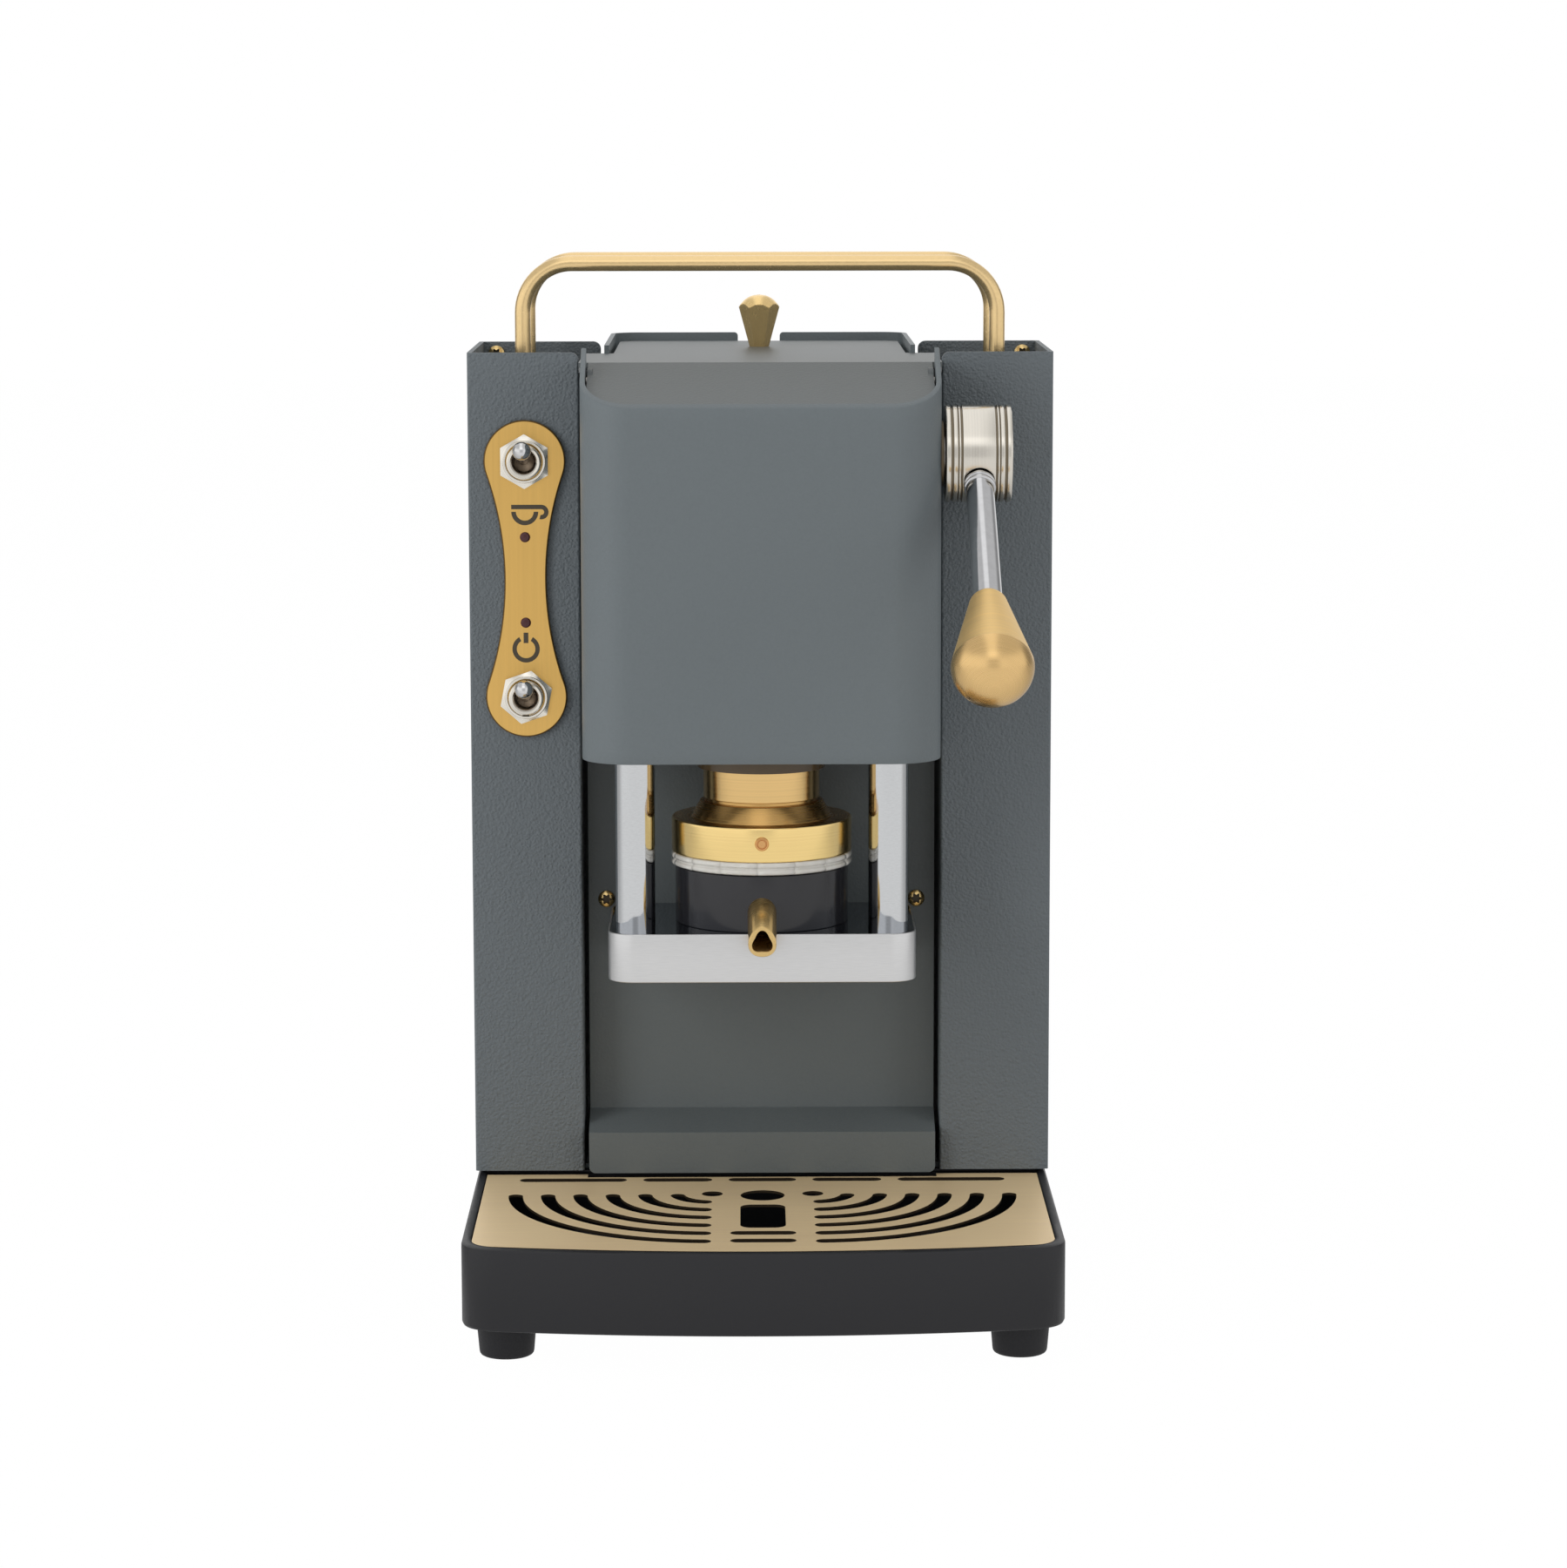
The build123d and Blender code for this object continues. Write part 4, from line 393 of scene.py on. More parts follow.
def second_finish(piece, finish, chosen):
    """Adds a finish for the faces that chosen picks from their middles, in millimetres."""
    faces = piece.data.polygons
    middles = np.empty(3 * len(faces))
    faces.foreach_get("center", middles)
    given = np.empty(len(faces), np.int32)
    faces.foreach_get("material_index", given)
    piece.data.materials.append(finish)
    given[chosen(middles.reshape(-1, 3) / mm)] = len(piece.data.materials) - 1
    faces.foreach_set("material_index", given)


column_coat = powder_coat("column_powder_coat", (0.118, 0.135, 0.146), 1180.0, 1.1, 0.5)
sheet_coat = powder_coat("sheet_powder_coat", (0.127, 0.147, 0.156), 1100.0, 0.25, 0.44)
# Painted shade: the panel, lid and tank shelf take darker copies of the sheets' blue grey, the panel under
# the hood, the shelf inside the tower and the lid against the light from above
panel_coat_painted_shade = powder_coat("panel_powder_coat_painted_shade", (0.104, 0.118, 0.121), 1100.0, 0.25, 0.5)
lid_coat_painted_shade = powder_coat("lid_powder_coat_painted_shade", (0.104, 0.116, 0.118), 1100.0, 0.2, 0.44)
inner_coat_painted_shade = powder_coat("inner_powder_coat_painted_shade", (0.085, 0.095, 0.100), 1100.0, 0.2, 0.5)
dress(column_coat, "column_left", "column_right")
dress(sheet_coat, "base_plate", "plinth", "column_cap_left", "column_cap_right")
dress(panel_coat_painted_shade, "splash_panel")
dress(lid_coat_painted_shade, "lid")
dress(sheet_coat, "tank_tower")
dress(inner_coat_painted_shade, "tank_shelf")

# Hood: one sheet bent to a U round the group, its lower edge level and its upper edge falling
# from two ears to the front, where the lid's slope meets it.
hood_low, hood_high, _ = seat("group_hood")
hood_half, hood_base, ear_top = hood_high[0], hood_low[2], hood_high[2]
hood_reach, hood_back, hood_round, sheet = 45.0, -20.0, 15.0, 1.5
hood_front_top, ear_ahead, shoulder = 277.0, 12.6, 284.6
side_middle, front_half, step_run = 21.0, 18.0, 0.01


def hood_path(inset):
    """Plan of the hood as (x, ahead), from the left rear edge round the front to the right rear edge:
    straight sides and front, with quarter circles about the same centres for every inset."""
    side = np.array([hood_back, 0.0, ear_ahead - step_run, ear_ahead, side_middle, hood_reach - hood_round])
    quarter = np.linspace(0, np.pi / 2, 17)[1:]
    reach = hood_round - inset
    left = np.stack([np.full(6, inset - hood_half), side], 1)
    corner_x = hood_round - hood_half - reach * np.cos(quarter)
    corner = np.stack([corner_x, hood_reach - hood_round + reach * np.sin(quarter)], 1)
    half = np.vstack([left, corner, [(-front_half, hood_reach - inset)]])
    return np.vstack([half, half[::-1] * (-1, 1)])


def lipped(path, lip):
    """Moves the front of the plan back by the lip, and the rounded corners by their share of it."""
    share = np.clip((path[:, 1] - hood_reach + hood_round) / (hood_round - sheet), 0, 1)
    return path - np.stack([np.zeros(len(path)), lip * share], 1)


def hood_top(path):
    """Height of the hood's upper edge over its plan: level at the front, rising in line to the ears,
    with a step down behind them."""
    climb = (hood_reach - path[:, 1]) * (ear_top - hood_front_top) / (hood_reach - ear_ahead)
    return np.where(path[:, 1] < ear_ahead - step_run / 2, shoulder, hood_front_top + climb)


# Each row is how far it lies inside the outer face, its height over the lower edge or else its
# depth below the upper edge, and its lip.
edge_round, edge_lip = 0.35, 0.65
hood_rows = []
for inset, low, high, lip in (
    (sheet, 0.0, None, 0),
    (edge_round, 0.0, None, 0),
    (0.1, 0.1, None, 0),
    (0.0, edge_round, None, 0),
    (0.0, 4.0, None, 0),
    (0.0, None, 4.0, 0),
    (0.0, None, edge_round, 0),
    (0.1, None, 0.1, 0),
    (edge_round, None, 0.0, 0),
    (sheet, None, 0.0, edge_lip),
    (sheet, None, 1.0, edge_lip),
    (sheet, None, 2.4, 0),
    (sheet, None, 4.0, 0),
    (sheet, 4.0, None, 0),
):
    path = lipped(hood_path(inset), lip)
    height = hood_base + low if high is None else hood_top(path) - high
    height = np.broadcast_to(height, (len(path),))
    hood_rows.append(np.stack([path[:, 0] * mm, front_face - path[:, 1] * mm, height * mm], 1))
hood_mesh = skin("hood", np.array(hood_rows), around=False, along=True)
hood_ends = []
for end in (0, -1):
    strip = np.array([row[end] for row in hood_rows])
    mesh = bpy.data.meshes.new("hood_end")
    mesh.from_pydata(strip.tolist(), [], [list(range(len(strip)))])
    hood_ends.append(mesh)
fit("hood", joined("hood", hood_mesh, *hood_ends), sheet_coat, "root", ["group_hood"])

# Handle: two brass rods, each bent twice and brushed under clear lacquer. They pass through the
# caps in the columns' tops and stand on nuts under them.


def brushed_metal(name, colour, stretch, roughness, relief=0.08, metallic=1.0, upright_painted_shade=None):
    """Brushed metal: hair lines that are long where stretch is small and fine where it is large. With
    an upright shade colour, faces whose normal lies level fade to it: painted shade on cut walls."""
    material, bench = bare_finish(name)
    place = bench.node("ShaderNodeTexCoord", output="Object")
    drawn = bench.vector("MULTIPLY", {0: place, 1: stretch})
    hair = bench.noise(drawn, 1.0, 4.0)
    drift = bench.noise(place, 22.0, 2.0)
    tone = (hair * 0.7 + drift * 0.3).tint(*shades(colour, 0.84, 1.1))
    if upright_painted_shade:
        facing = bench.node("ShaderNodeTexCoord", output="Normal").part("Z")
        tone = bench.maths("ABSOLUTE", facing).tint(upright_painted_shade, tone)
    sockets = {
        "Base Color": tone,
        "Metallic": metallic,
        "Roughness": roughness + (hair - 0.5) * 0.22 + (drift - 0.5) * 0.1,
        "Normal": bench.bump(relief, 0.0002, hair),
    }
    bench.surface(sockets)
    return material


bar_radius, bar_bend, leg_end = 2.4, 15.0, 278.5
leg_nut, leg_nut_height, bar_sides = 4.2, 3.0, 32
_, bar_high, _ = seat("handle_front")
bar_half, bar_height = bar_high[0] - leg_nut, bar_high[2] - bar_radius
bend_turn = np.linspace(0, np.pi / 2, 17)
bend_x = -bar_half + bar_bend * (1 - np.cos(bend_turn))
left_bend = np.stack([bend_x, bar_height - bar_bend * (1 - np.sin(bend_turn))], 1)
right_bend = left_bend[::-1] * (-1, 1)
bar_line = np.vstack([[(-bar_half, leg_end)], left_bend, right_bend, [(bar_half, leg_end)]])
bar_run = np.gradient(bar_line, axis=0)
bar_run[0], bar_run[-1] = (0, 1), (0, -1)
bar_run = bar_run / np.linalg.norm(bar_run, axis=1, keepdims=True)
bar_side = np.stack([bar_run[:, 1], -bar_run[:, 0]], 1)
bar_angles = np.linspace(0, 2 * np.pi, bar_sides, endpoint=False)
across = bar_radius * np.cos(bar_angles)[None, :]
bar_x = bar_line[:, :1] + bar_side[:, :1] * across
bar_z = bar_line[:, 1:] + bar_side[:, 1:] * across
leg_nut_line = np.array([(0, 0), (leg_nut, 0), (leg_nut, leg_nut_height), (0, leg_nut_height)]) * mm
handle_brass = brushed_metal("handle_brass", (0.84, 0.615, 0.31), (700.0, 1400.0, 1400.0), 0.23, 0.015, 0.9)
for end, bar_ahead in (("front", -20.0), ("rear", -55.0)):
    bar_y = face_y - bar_ahead + bar_radius * np.sin(bar_angles)[None, :]
    bar = np.stack([bar_x, np.broadcast_to(bar_y, bar_x.shape), bar_z], -1)
    bar = skin("bar", bar * mm, caps=True)
    nuts = [
        lathe("nut", leg_nut_line, (x * mm, front_face - bar_ahead * mm, leg_end * mm), up, 6)
        for x in (-bar_half, bar_half)
    ]
    bar = joined("bar", bar, *nuts)
    fit(f"handle_bar_{end}", bar, handle_brass, "root", [f"handle_{end}"])

# Sheet screws: small domed brass heads with a six-lobed socket, two in the columns' back walls
# and two in the splash panel. The sunk socket is painted dark brown as shade.


def turned_metal(name, colour, foot, direction, roughness, relief=0.06, tool_lines=2600.0):
    """Turned metal: rings left by the tool, a noise over the distance along the axis from foot and
    the distance out from it, with tool_lines of its features to a metre."""
    material, bench = bare_finish(name)
    axis = tuple(Vector(direction).normalized())
    place = bench.node("ShaderNodeTexCoord", output="Object")
    offset = bench.vector("SUBTRACT", {0: place, 1: tuple(foot)})
    run = bench.vector("DOT_PRODUCT", {0: offset, 1: axis}, "Value")
    swing = bench.vector("CROSS_PRODUCT", {0: offset, 1: axis})
    radius = bench.vector("LENGTH", {0: swing}, "Value")
    lines = bench.node("ShaderNodeCombineXYZ", None, {"X": run * tool_lines, "Y": radius * tool_lines})
    flat = {"Vector": lines, "Scale": 1.0, "Detail": 3.0}
    rings = bench.node("ShaderNodeTexNoise", {"noise_dimensions": "2D"}, flat)
    drift = bench.noise(place, 60.0, 3.0)
    sockets = {
        "Base Color": (rings * 0.65 + drift * 0.35).tint(*shades(colour, 0.82, 1.1)),
        "Metallic": 1.0,
        "Roughness": roughness + (rings - 0.5) * 0.18 + (drift - 0.5) * 0.08,
        "Normal": bench.bump(relief, 0.0002, rings),
    }
    bench.surface(sockets)
    return material


def lobed_screw(name, centre, radius, height):
    """Dome over a disc with a six-lobed well: the well's wall follows a mean radius plus a sixth
    harmonic, and the dome falls by the square of the distance from the axis."""
    angles = np.linspace(0, 2 * np.pi, 72, endpoint=False)
    well = 0.56 * radius * (1 + 0.2 * np.cos(6 * angles))
    t = np.linspace(0, 1, 9)[:, None]
    dome_radius = well + (radius - well) * t
    dome_height = height * np.sqrt(np.clip(1 - 0.85 * (dome_radius / radius) ** 2, 0, 1))
    floor_radius = well * np.array([[0.0], [0.9], [1.0]])
    floor_height = np.broadcast_to(np.array([[0.1], [0.1], [0.3]]) * height, floor_radius.shape)
    rim_radius = np.array([[1.0], [0.0]]) * np.full(len(angles), radius)
    radii = np.vstack([floor_radius, dome_radius, rim_radius])
    heights = np.vstack([floor_height, dome_height, np.zeros(rim_radius.shape)])
    points = np.stack([radii * np.cos(angles), -heights, radii * np.sin(angles)], -1)
    return skin(name, (points + centre) * mm)


screw_brass = turned_metal("screw_brass", (0.74, 0.54, 0.24), (0, 0, 0), (0, 1, 0), 0.25)
# Painted shade: the floor and lower wall of each socket are dark brown
socket_painted_shade = moulded("socket_painted_shade", (0.05, 0.035, 0.015), 0.5, 900.0, 0.05)
screw_dome, socket_share, socket_depth = 1.4, 0.57, 0.6
for place, node_radius, head_radius in (("column", 2.5, 2.5), ("panel", 2.15, 2.55)):
    _, screw_high, _ = seat(f"{place}_screws")
    screw_x, screw_z = screw_high[0] - node_radius, screw_high[2] - node_radius
    heads = [
        lobed_screw("screw", (x, screw_high[1], screw_z), head_radius, screw_dome)
        for x in (-screw_x, screw_x)
    ]
    heads = joined("heads", *heads)
    heads = fit(f"{place}_screw_heads", heads, screw_brass, "root", [f"{place}_screws"])
    second_finish(
        heads,
        socket_painted_shade,
        lambda at: (np.hypot(np.abs(at[:, 0]) - screw_x, at[:, 2] - screw_z) < socket_share * head_radius)
        & (at[:, 1] > screw_high[1] - socket_depth),
    )

# Lid knob: a brass taper with six milled flats under a turned dome, riveted to the lid.
# Its radius is the lesser of a hexagon that widens upwards and of a ball.
knob_y, knob_foot = face_y + 86.0, 288.5
knob_base, knob_top, knob_shoulder, knob_height = 3.1, 6.5, 12.6, 16.6
knob_angles = np.arange(72) * np.pi / 36
to_flat = np.abs((knob_angles + np.pi / 6) % (np.pi / 3) - np.pi / 6)
dome_rise = knob_height - knob_shoulder
knob_z = [np.linspace(0, knob_shoulder, 14), np.linspace(knob_shoulder, knob_height, 15)[1:]]
knob_z = np.concatenate(knob_z)
ball = (knob_top**2 + dome_rise**2) / (2 * dome_rise)
dome = np.sqrt(np.clip(ball**2 - (np.maximum(knob_z, knob_shoulder) - knob_height + ball) ** 2, 0, None))
flat = (knob_base + (knob_top - knob_base) * knob_z / knob_shoulder) * np.cos(np.pi / 6)
reach = np.minimum(flat[:, None] / np.cos(to_flat)[None, :], dome[:, None])
knob_points = [
    reach * np.cos(knob_angles + np.pi / 6),
    reach * np.sin(knob_angles + np.pi / 6) + knob_y,
    np.broadcast_to(knob_z[:, None] + knob_foot, reach.shape),
]
knob_brass = brushed_metal("lid_knob_brass", (0.95, 0.67, 0.30), (1500.0, 1500.0, 260.0), 0.24, 0.1, 0.8)
knob = skin("knob", np.stack(knob_points, -1) * mm, caps=True)
fit("lid_knob_brass", knob, knob_brass, "lid", ["lid_knob"], crease=14)

# Lower plate: a thick slab of cast aluminium with rounded corners, its rim brushed and its top
# polished, bolted to the splash panel. The polished top is coloured dark blue grey, a painted
# reflection of the blue-grey panel and hood around it.


def round_plate(name, half_x, low_y, high_y, radius, low, high, ease, segments=12):
    """Slab with rounded corners in plan: quarter circles joined by straight sides, carried up a
    profile whose two corners are eased."""
    turn = np.linspace(0, np.pi / 2, segments)
    rows = eased([(ease * 3, low), (0, low), (0, high), (ease * 3, high)], ease, 4)
    rings = []
    for inset, z in rows:
        reach = max(radius - inset, 0.01)
        corners = []
        for quarter, (sx, sy) in enumerate(((1, 1), (-1, 1), (-1, -1), (1, -1))):
            angle = turn + quarter * np.pi / 2
            x, y = sx * (half_x - radius), (high_y - radius) if sy > 0 else (low_y + radius)
            corners.append(np.stack([x + reach * np.cos(angle), y + reach * np.sin(angle)], 1))
        plan = np.vstack(corners)
        rings.append(np.column_stack([plan, np.full(len(plan), z)]))
    return skin(name, np.array(rings) * mm, caps=True)


plate_finish = brushed_metal("plate_aluminium", (0.70, 0.70, 0.70), (260.0, 260.0, 5200.0), 0.36, 0.05)
# Painted reflection: the polished top is dark blue grey where the rim is pale aluminium
top_painted_reflection = brushed_metal("plate_top_painted_reflection", (0.26, 0.29, 0.34), (900.0, 900.0, 900.0), 0.05, 0.01)
plate_low, plate_high, _ = seat("lower_plate")
plate_corner, plate_edge = 8.0, 0.5
plate = (plate_high[0], plate_low[1], plate_high[1], plate_corner, plate_low[2], plate_high[2], plate_edge)
plate = round_plate("plate", *plate)
slab = fit("lower_plate_slab", plate, plate_finish, "root", ["lower_plate"])
second_finish(slab, top_painted_reflection, lambda at: at[:, 2] > plate_high[2] - 0.02)

# Guide columns: two ground and polished steel bars between the lower and the upper plate, each
# with a hexagon nut on top.
polished = brushed_metal("polished_steel", (0.62, 0.63, 0.64), (900.0, 900.0, 5200.0), 0.07, 0.01)
guide_radius, guide_nut, guide_nut_height = 6.05, 8.0, 5.0
for side in ("left", "right"):
    guide_low, guide_high, guide_middle = seat(f"guide_column_{side}")
    guide_foot = (guide_middle[0] * mm, guide_middle[1] * mm, guide_low[2] * mm)
    tall = guide_high[2] - guide_low[2]
    nut_low = tall - guide_nut_height
    guide_line = np.array([(0, 0), (guide_radius, 0), (guide_radius, tall), (0, tall)])
    nut_line = [(guide_radius, nut_low), (guide_nut, nut_low), (guide_nut, tall), (guide_radius, tall)]
    bar = lathe("bar", guide_line * mm, guide_foot, up)
    nut = lathe("nut", np.array(nut_line) * mm, guide_foot, up, 6, along=True)
    bar = joined("bar", bar, nut)
    fit(f"guide_bar_{side}", bar, polished, "root", [f"guide_column_{side}"])

# Upper plate, collar and shaft: a steel plate that closes the hood from below, a black flanged
# bush pressed into it for the piston, and the turned steel crankshaft across the hood. The bush's
# black plastic is tinted brown, a painted reflection of the brass piston neck inside it.
steel = brushed_metal("plain_steel", (0.50, 0.50, 0.51), (900.0, 120.0, 900.0), 0.35)
dress(steel, "upper_plate", "lever_shaft", "boiler_bracket")
black_plastic = moulded("black_plastic", (0.035, 0.035, 0.037), 0.32, 900.0, 0.06)
dress(black_plastic, "power_inlet")
# Painted reflection: the black collar is tinted brown by the brass neck it mirrors
dress(moulded("collar_painted_reflection", (0.085, 0.055, 0.025), 0.22, 900.0, 0.03), "guide_collar")

# Piston: a head, cone and neck turned from one brass bar, with a slotted yoke above for the crank
# pin. A small copper-coloured pin is pressed into the front of the head. The cone and the neck take
# darker copies of the head's brass, as painted shade.
forward = (0, -1, 0)
group_y = front_face - 18.0 * mm
ring_base, yoke_top = seat("piston")[0][2], seat("piston")[1][2]
group = (0.0, group_y, ring_base * mm)
ring_radius, ring_height, cone_wide, cone_narrow, cone_height = 27.25, 10.5, 21.3, 18.5, 15.4
nick_radius, nick_height, neck_radius, neck_end = 16.6, 16.4, 17.6, 240.0
yoke_half, yoke_depth, yoke_start = 6.0, 13.0, 239.0
neck_top = neck_end - ring_base
piston_brass = turned_metal("piston_brass", (1.0, 0.70, 0.295), group, up, 0.2, 0.03, 2200.0)
cone_brass_painted_shade = turned_metal("cone_brass_painted_shade", (0.64, 0.39, 0.137), group, up, 0.26, 0.05, 2200.0)
neck_brass_painted_shade = turned_metal("neck_brass_painted_shade", (0.80, 0.54, 0.23), group, up, 0.2, 0.03, 2200.0)
cone_foot, waist, neck_foot = (cone_wide, ring_height), (nick_radius, cone_height), (nick_radius, nick_height)
ring_line = eased([(0, 0), (ring_radius, 0), (ring_radius, ring_height), cone_foot], (0.6, 0.7))
cone_line = eased([cone_foot, (cone_narrow, cone_height), waist, neck_foot], (0.25, 0.1))
neck_line = eased([neck_foot, (neck_radius, nick_height), (neck_radius, neck_top), (0, neck_top)], (0.3, 0.3))
piston = lathe("piston", np.vstack([ring_line, cone_line, neck_line]) * mm, group, up, 160)
yoke_y = group_y / mm
yoke = round_plate("yoke", yoke_half, yoke_y - yoke_depth, yoke_y, 0.5, yoke_start, yoke_top, 0.2, 3)
piston = joined("piston", piston, yoke)
head = fit("piston_head", piston, piston_brass, "piston", ["piston"], crease=24)
cone_middle, cone_reach = 13.45, 3.0
# Painted shade: the cone and the neck are darker copies of the head's brass
second_finish(head, cone_brass_painted_shade, lambda at: np.abs(at[:, 2] - ring_base - cone_middle) < cone_reach)
second_finish(head, neck_brass_painted_shade, lambda at: at[:, 2] > ring_base + cone_middle + cone_reach)
_, pin_high, pin_middle = seat("piston_pin")
pin_foot = (0.0, pin_high[1] * mm, pin_middle[2] * mm)
pin_rim, pin_cup, pin_stand = 2.1, 1.2, 6.1
pin_line = [(0, 0), (pin_rim, 0), (pin_rim, pin_stand), (1.9, 6.4), (1.5, 6.45)]
pin_line += [(1.35, pin_stand), (pin_cup, pin_stand), (1.1, 6.35), (0, 6.35)]
pin_brass = turned_metal("pin_copper_brass", (0.72, 0.40, 0.16), pin_foot, forward, 0.22)
pin = lathe("pin", np.array(pin_line) * mm, pin_foot, forward, 48)
fit("piston_pin_brass", pin, pin_brass, "piston", ["piston_pin"])

# Gasket: a clear silicone ring under the head that seals on the pod, moulded with a shallow nick
# every 24 degrees. The shower screen above the pod is polished steel.
gasket_finish, bench = bare_finish("clear_silicone")
place = bench.node("ShaderNodeTexCoord", output="Object")
cloud = bench.noise(place, 300.0, 3.0)
sockets = {
    "Base Color": cloud.tint((0.74, 0.71, 0.64), (0.97, 0.95, 0.90)),
    "Roughness": 0.03 + cloud * 0.06,
    "IOR": 1.41,
    "Transmission Weight": 0.4,
    "Coat Weight": 1.0,
    "Coat Roughness": 0.02,
}
bench.surface(sockets)
nicks, first_nick, nick_cut = 15, 9.1, 0.014
nick_part = np.radians([-0.9, -0.35, 0.35, 0.9, 4.0, 7.0, 10.0, 13.0, 16.0, 19.0])
nick_start = np.arange(nicks)[:, None] * np.radians(360.0 / nicks)
gasket_angles = (nick_start + nick_part[None, :]).ravel() + np.radians(first_nick)
nick_depth = np.tile([0.0, 1.0, 1.0, 0, 0, 0, 0, 0, 0, 0], nicks)
gasket_bore, gasket_foot = 23.0, -3.8
gasket_line = [(27.0, 0), (gasket_bore, 0), (gasket_bore, gasket_foot), (26.9, gasket_foot), (27.5, -3.4)]
gasket_line += [(27.5, -2.5), (27.0, -2.1), (27.0, -1.7), (27.55, -1.3), (27.4, -0.3)]
gasket_ease = (0.2, 0.2, 0.2, 0.2, 0.3, 0.3, 0.2, 0.2, 0.3, 0.2)
gasket_line = eased(gasket_line, gasket_ease, 4, closed=True)
outer_side = np.clip((gasket_line[:, :1] - 26.2) / 1.0, 0, 1)
gasket_swell = 1 - outer_side * nick_depth[None, :] * nick_cut
gasket = lathe("gasket", gasket_line * mm, group, up, along=True, angles=gasket_angles, swell=gasket_swell)
fit("gasket_ring", gasket, gasket_finish, "piston", ["gasket"], crease=60)
dress(polished, "shower_screen")

# Pod holder: a black moulded cup that stands on the lower plate, with a stepped seat for the pod
# and a drain in its floor.
holder_plastic = moulded("holder_plastic", (0.018, 0.018, 0.021), 0.17, 500.0, 0.02)
holder_base = seat("pod_holder")[0][2]
cup_radius, cup_height, seat_radius, seat_height = 26.15, 17.2, 22.8, 11.2
drain_radius, drain_floor = 3.0, 4.7
holder_line = [(0, drain_floor), (drain_radius, drain_floor), (drain_radius, seat_height)]
holder_line += [(seat_radius, seat_height), (seat_radius, cup_height), (cup_radius, cup_height)]
holder_line = eased(holder_line + [(cup_radius, 0), (0, 0)], (0.1, 0.3, 0.3, 0.3, 0.5, 0.3))
holder = lathe("holder", holder_line * mm, (0, group_y, holder_base * mm), up, 128)
fit("pod_cup", holder, holder_plastic, "root", ["pod_holder"])

# Spout: a brass tube that leans down out of the cup, its mouth cut upright and pinched a little
# on three sides.
spout_slope, spout_round = np.radians(26.5), 4.35
spout_low, spout_high, _ = seat("spout")
spout_length = spout_high[1] - spout_low[1]
spout_start = np.array([0.0, spout_high[1], holder_base - 0.6 + spout_length * np.tan(spout_slope)])
spout_run = spout_length * np.array([0.0, -1.0, -np.tan(spout_slope)])
spout_angles = np.linspace(0, 2 * np.pi, 64, endpoint=False)
# Each row is its radius, its share of the tube's length, and its pinch.
spout_rows = []
for reach, t, pinch in (
    (3.25, -0.3, 0.0),
    (spout_round, -0.3, 0.0),
    (spout_round, 0.0, 0.0),
    (spout_round, 0.5, 0.02),
    (spout_round, 0.985, 0.05),
    (4.2, 1.0, 0.06),
    (3.3, 1.0, 0.12),
    (3.15, 0.98, 0.12),
    (3.25, 0.5, 0.02),
):
    pressed = reach * (1 - pinch + pinch * np.sin(3 * spout_angles + np.pi))
    round_x = pressed * np.cos(spout_angles)
    round_z = pressed / np.cos(spout_slope) * np.sin(spout_angles)
    spout_rows.append(spout_start + t * spout_run + np.stack([round_x, np.zeros(round_x.shape), round_z], 1))
spout_brass = turned_metal("spout_brass", (0.74, 0.52, 0.22), spout_start * mm, spout_run, 0.3, 0.05)
spout = skin("spout", np.array(spout_rows) * mm, along=True)
fit("spout_tube", spout, spout_brass, "root", ["spout"])

# Lever hub: a nickel-plated drum with three ring grooves at each end, pressed on the shaft,
# with a cross hole for the rod. Bushes pressed into the hood's walls carry the shaft. The grooves'
# walls and floors are painted dark brown as shade.
hub_low, hub_high, hub_middle = seat("lever_hub")
pivot = np.array([0.0, hub_middle[1], hub_middle[2]])
hub_start, hub_length, hub_radius, groove_depth = hub_low[0], hub_high[0] - hub_low[0], 14.55, 0.55
groove_shares = np.array([(0.075, 0.117), (0.177, 0.197), (0.222, 0.255)])
groove_shares = np.vstack([groove_shares, 1 - groove_shares[::-1, ::-1]])
grooves = groove_shares * hub_length
groove_line = np.stack([grooves[:, 0], grooves[:, 0], grooves[:, 1], grooves[:, 1]], 1).ravel()
groove_floor = hub_radius - groove_depth
groove_radius = np.tile([hub_radius, groove_floor, groove_floor, hub_radius], len(grooves))
groove_line = np.stack([groove_radius, groove_line], 1)
hub_line = np.vstack([[(0, 0), (hub_radius, 0)], groove_line, [(hub_radius, hub_length), (0, hub_length)]])
hub_line = eased(hub_line, (0.5, *([0.09] * len(groove_line)), 0.5), 4)
lever_slope = np.radians(31.0)
lever_way = np.array([0.0, -np.cos(lever_slope), -np.sin(lever_slope)])
shaft_way = (1, 0, 0)
hub_foot = (pivot + (hub_start, 0, 0)) * mm
rod_foot = (pivot + (hub_start + hub_length / 2, 0, 0)) * mm
hub_nickel = turned_metal("hub_nickel", (0.72, 0.68, 0.61), hub_foot, shaft_way, 0.2, 0.03)
groove_painted_shade = turned_metal("groove_painted_shade", (0.20, 0.165, 0.115), hub_foot, shaft_way, 0.35, 0.05)
hub = lathe("hub", hub_line * mm, hub_foot, shaft_way, 160)
hub = fit("lever_hub_drum", hub, hub_nickel, "lever", ["lever_hub"])


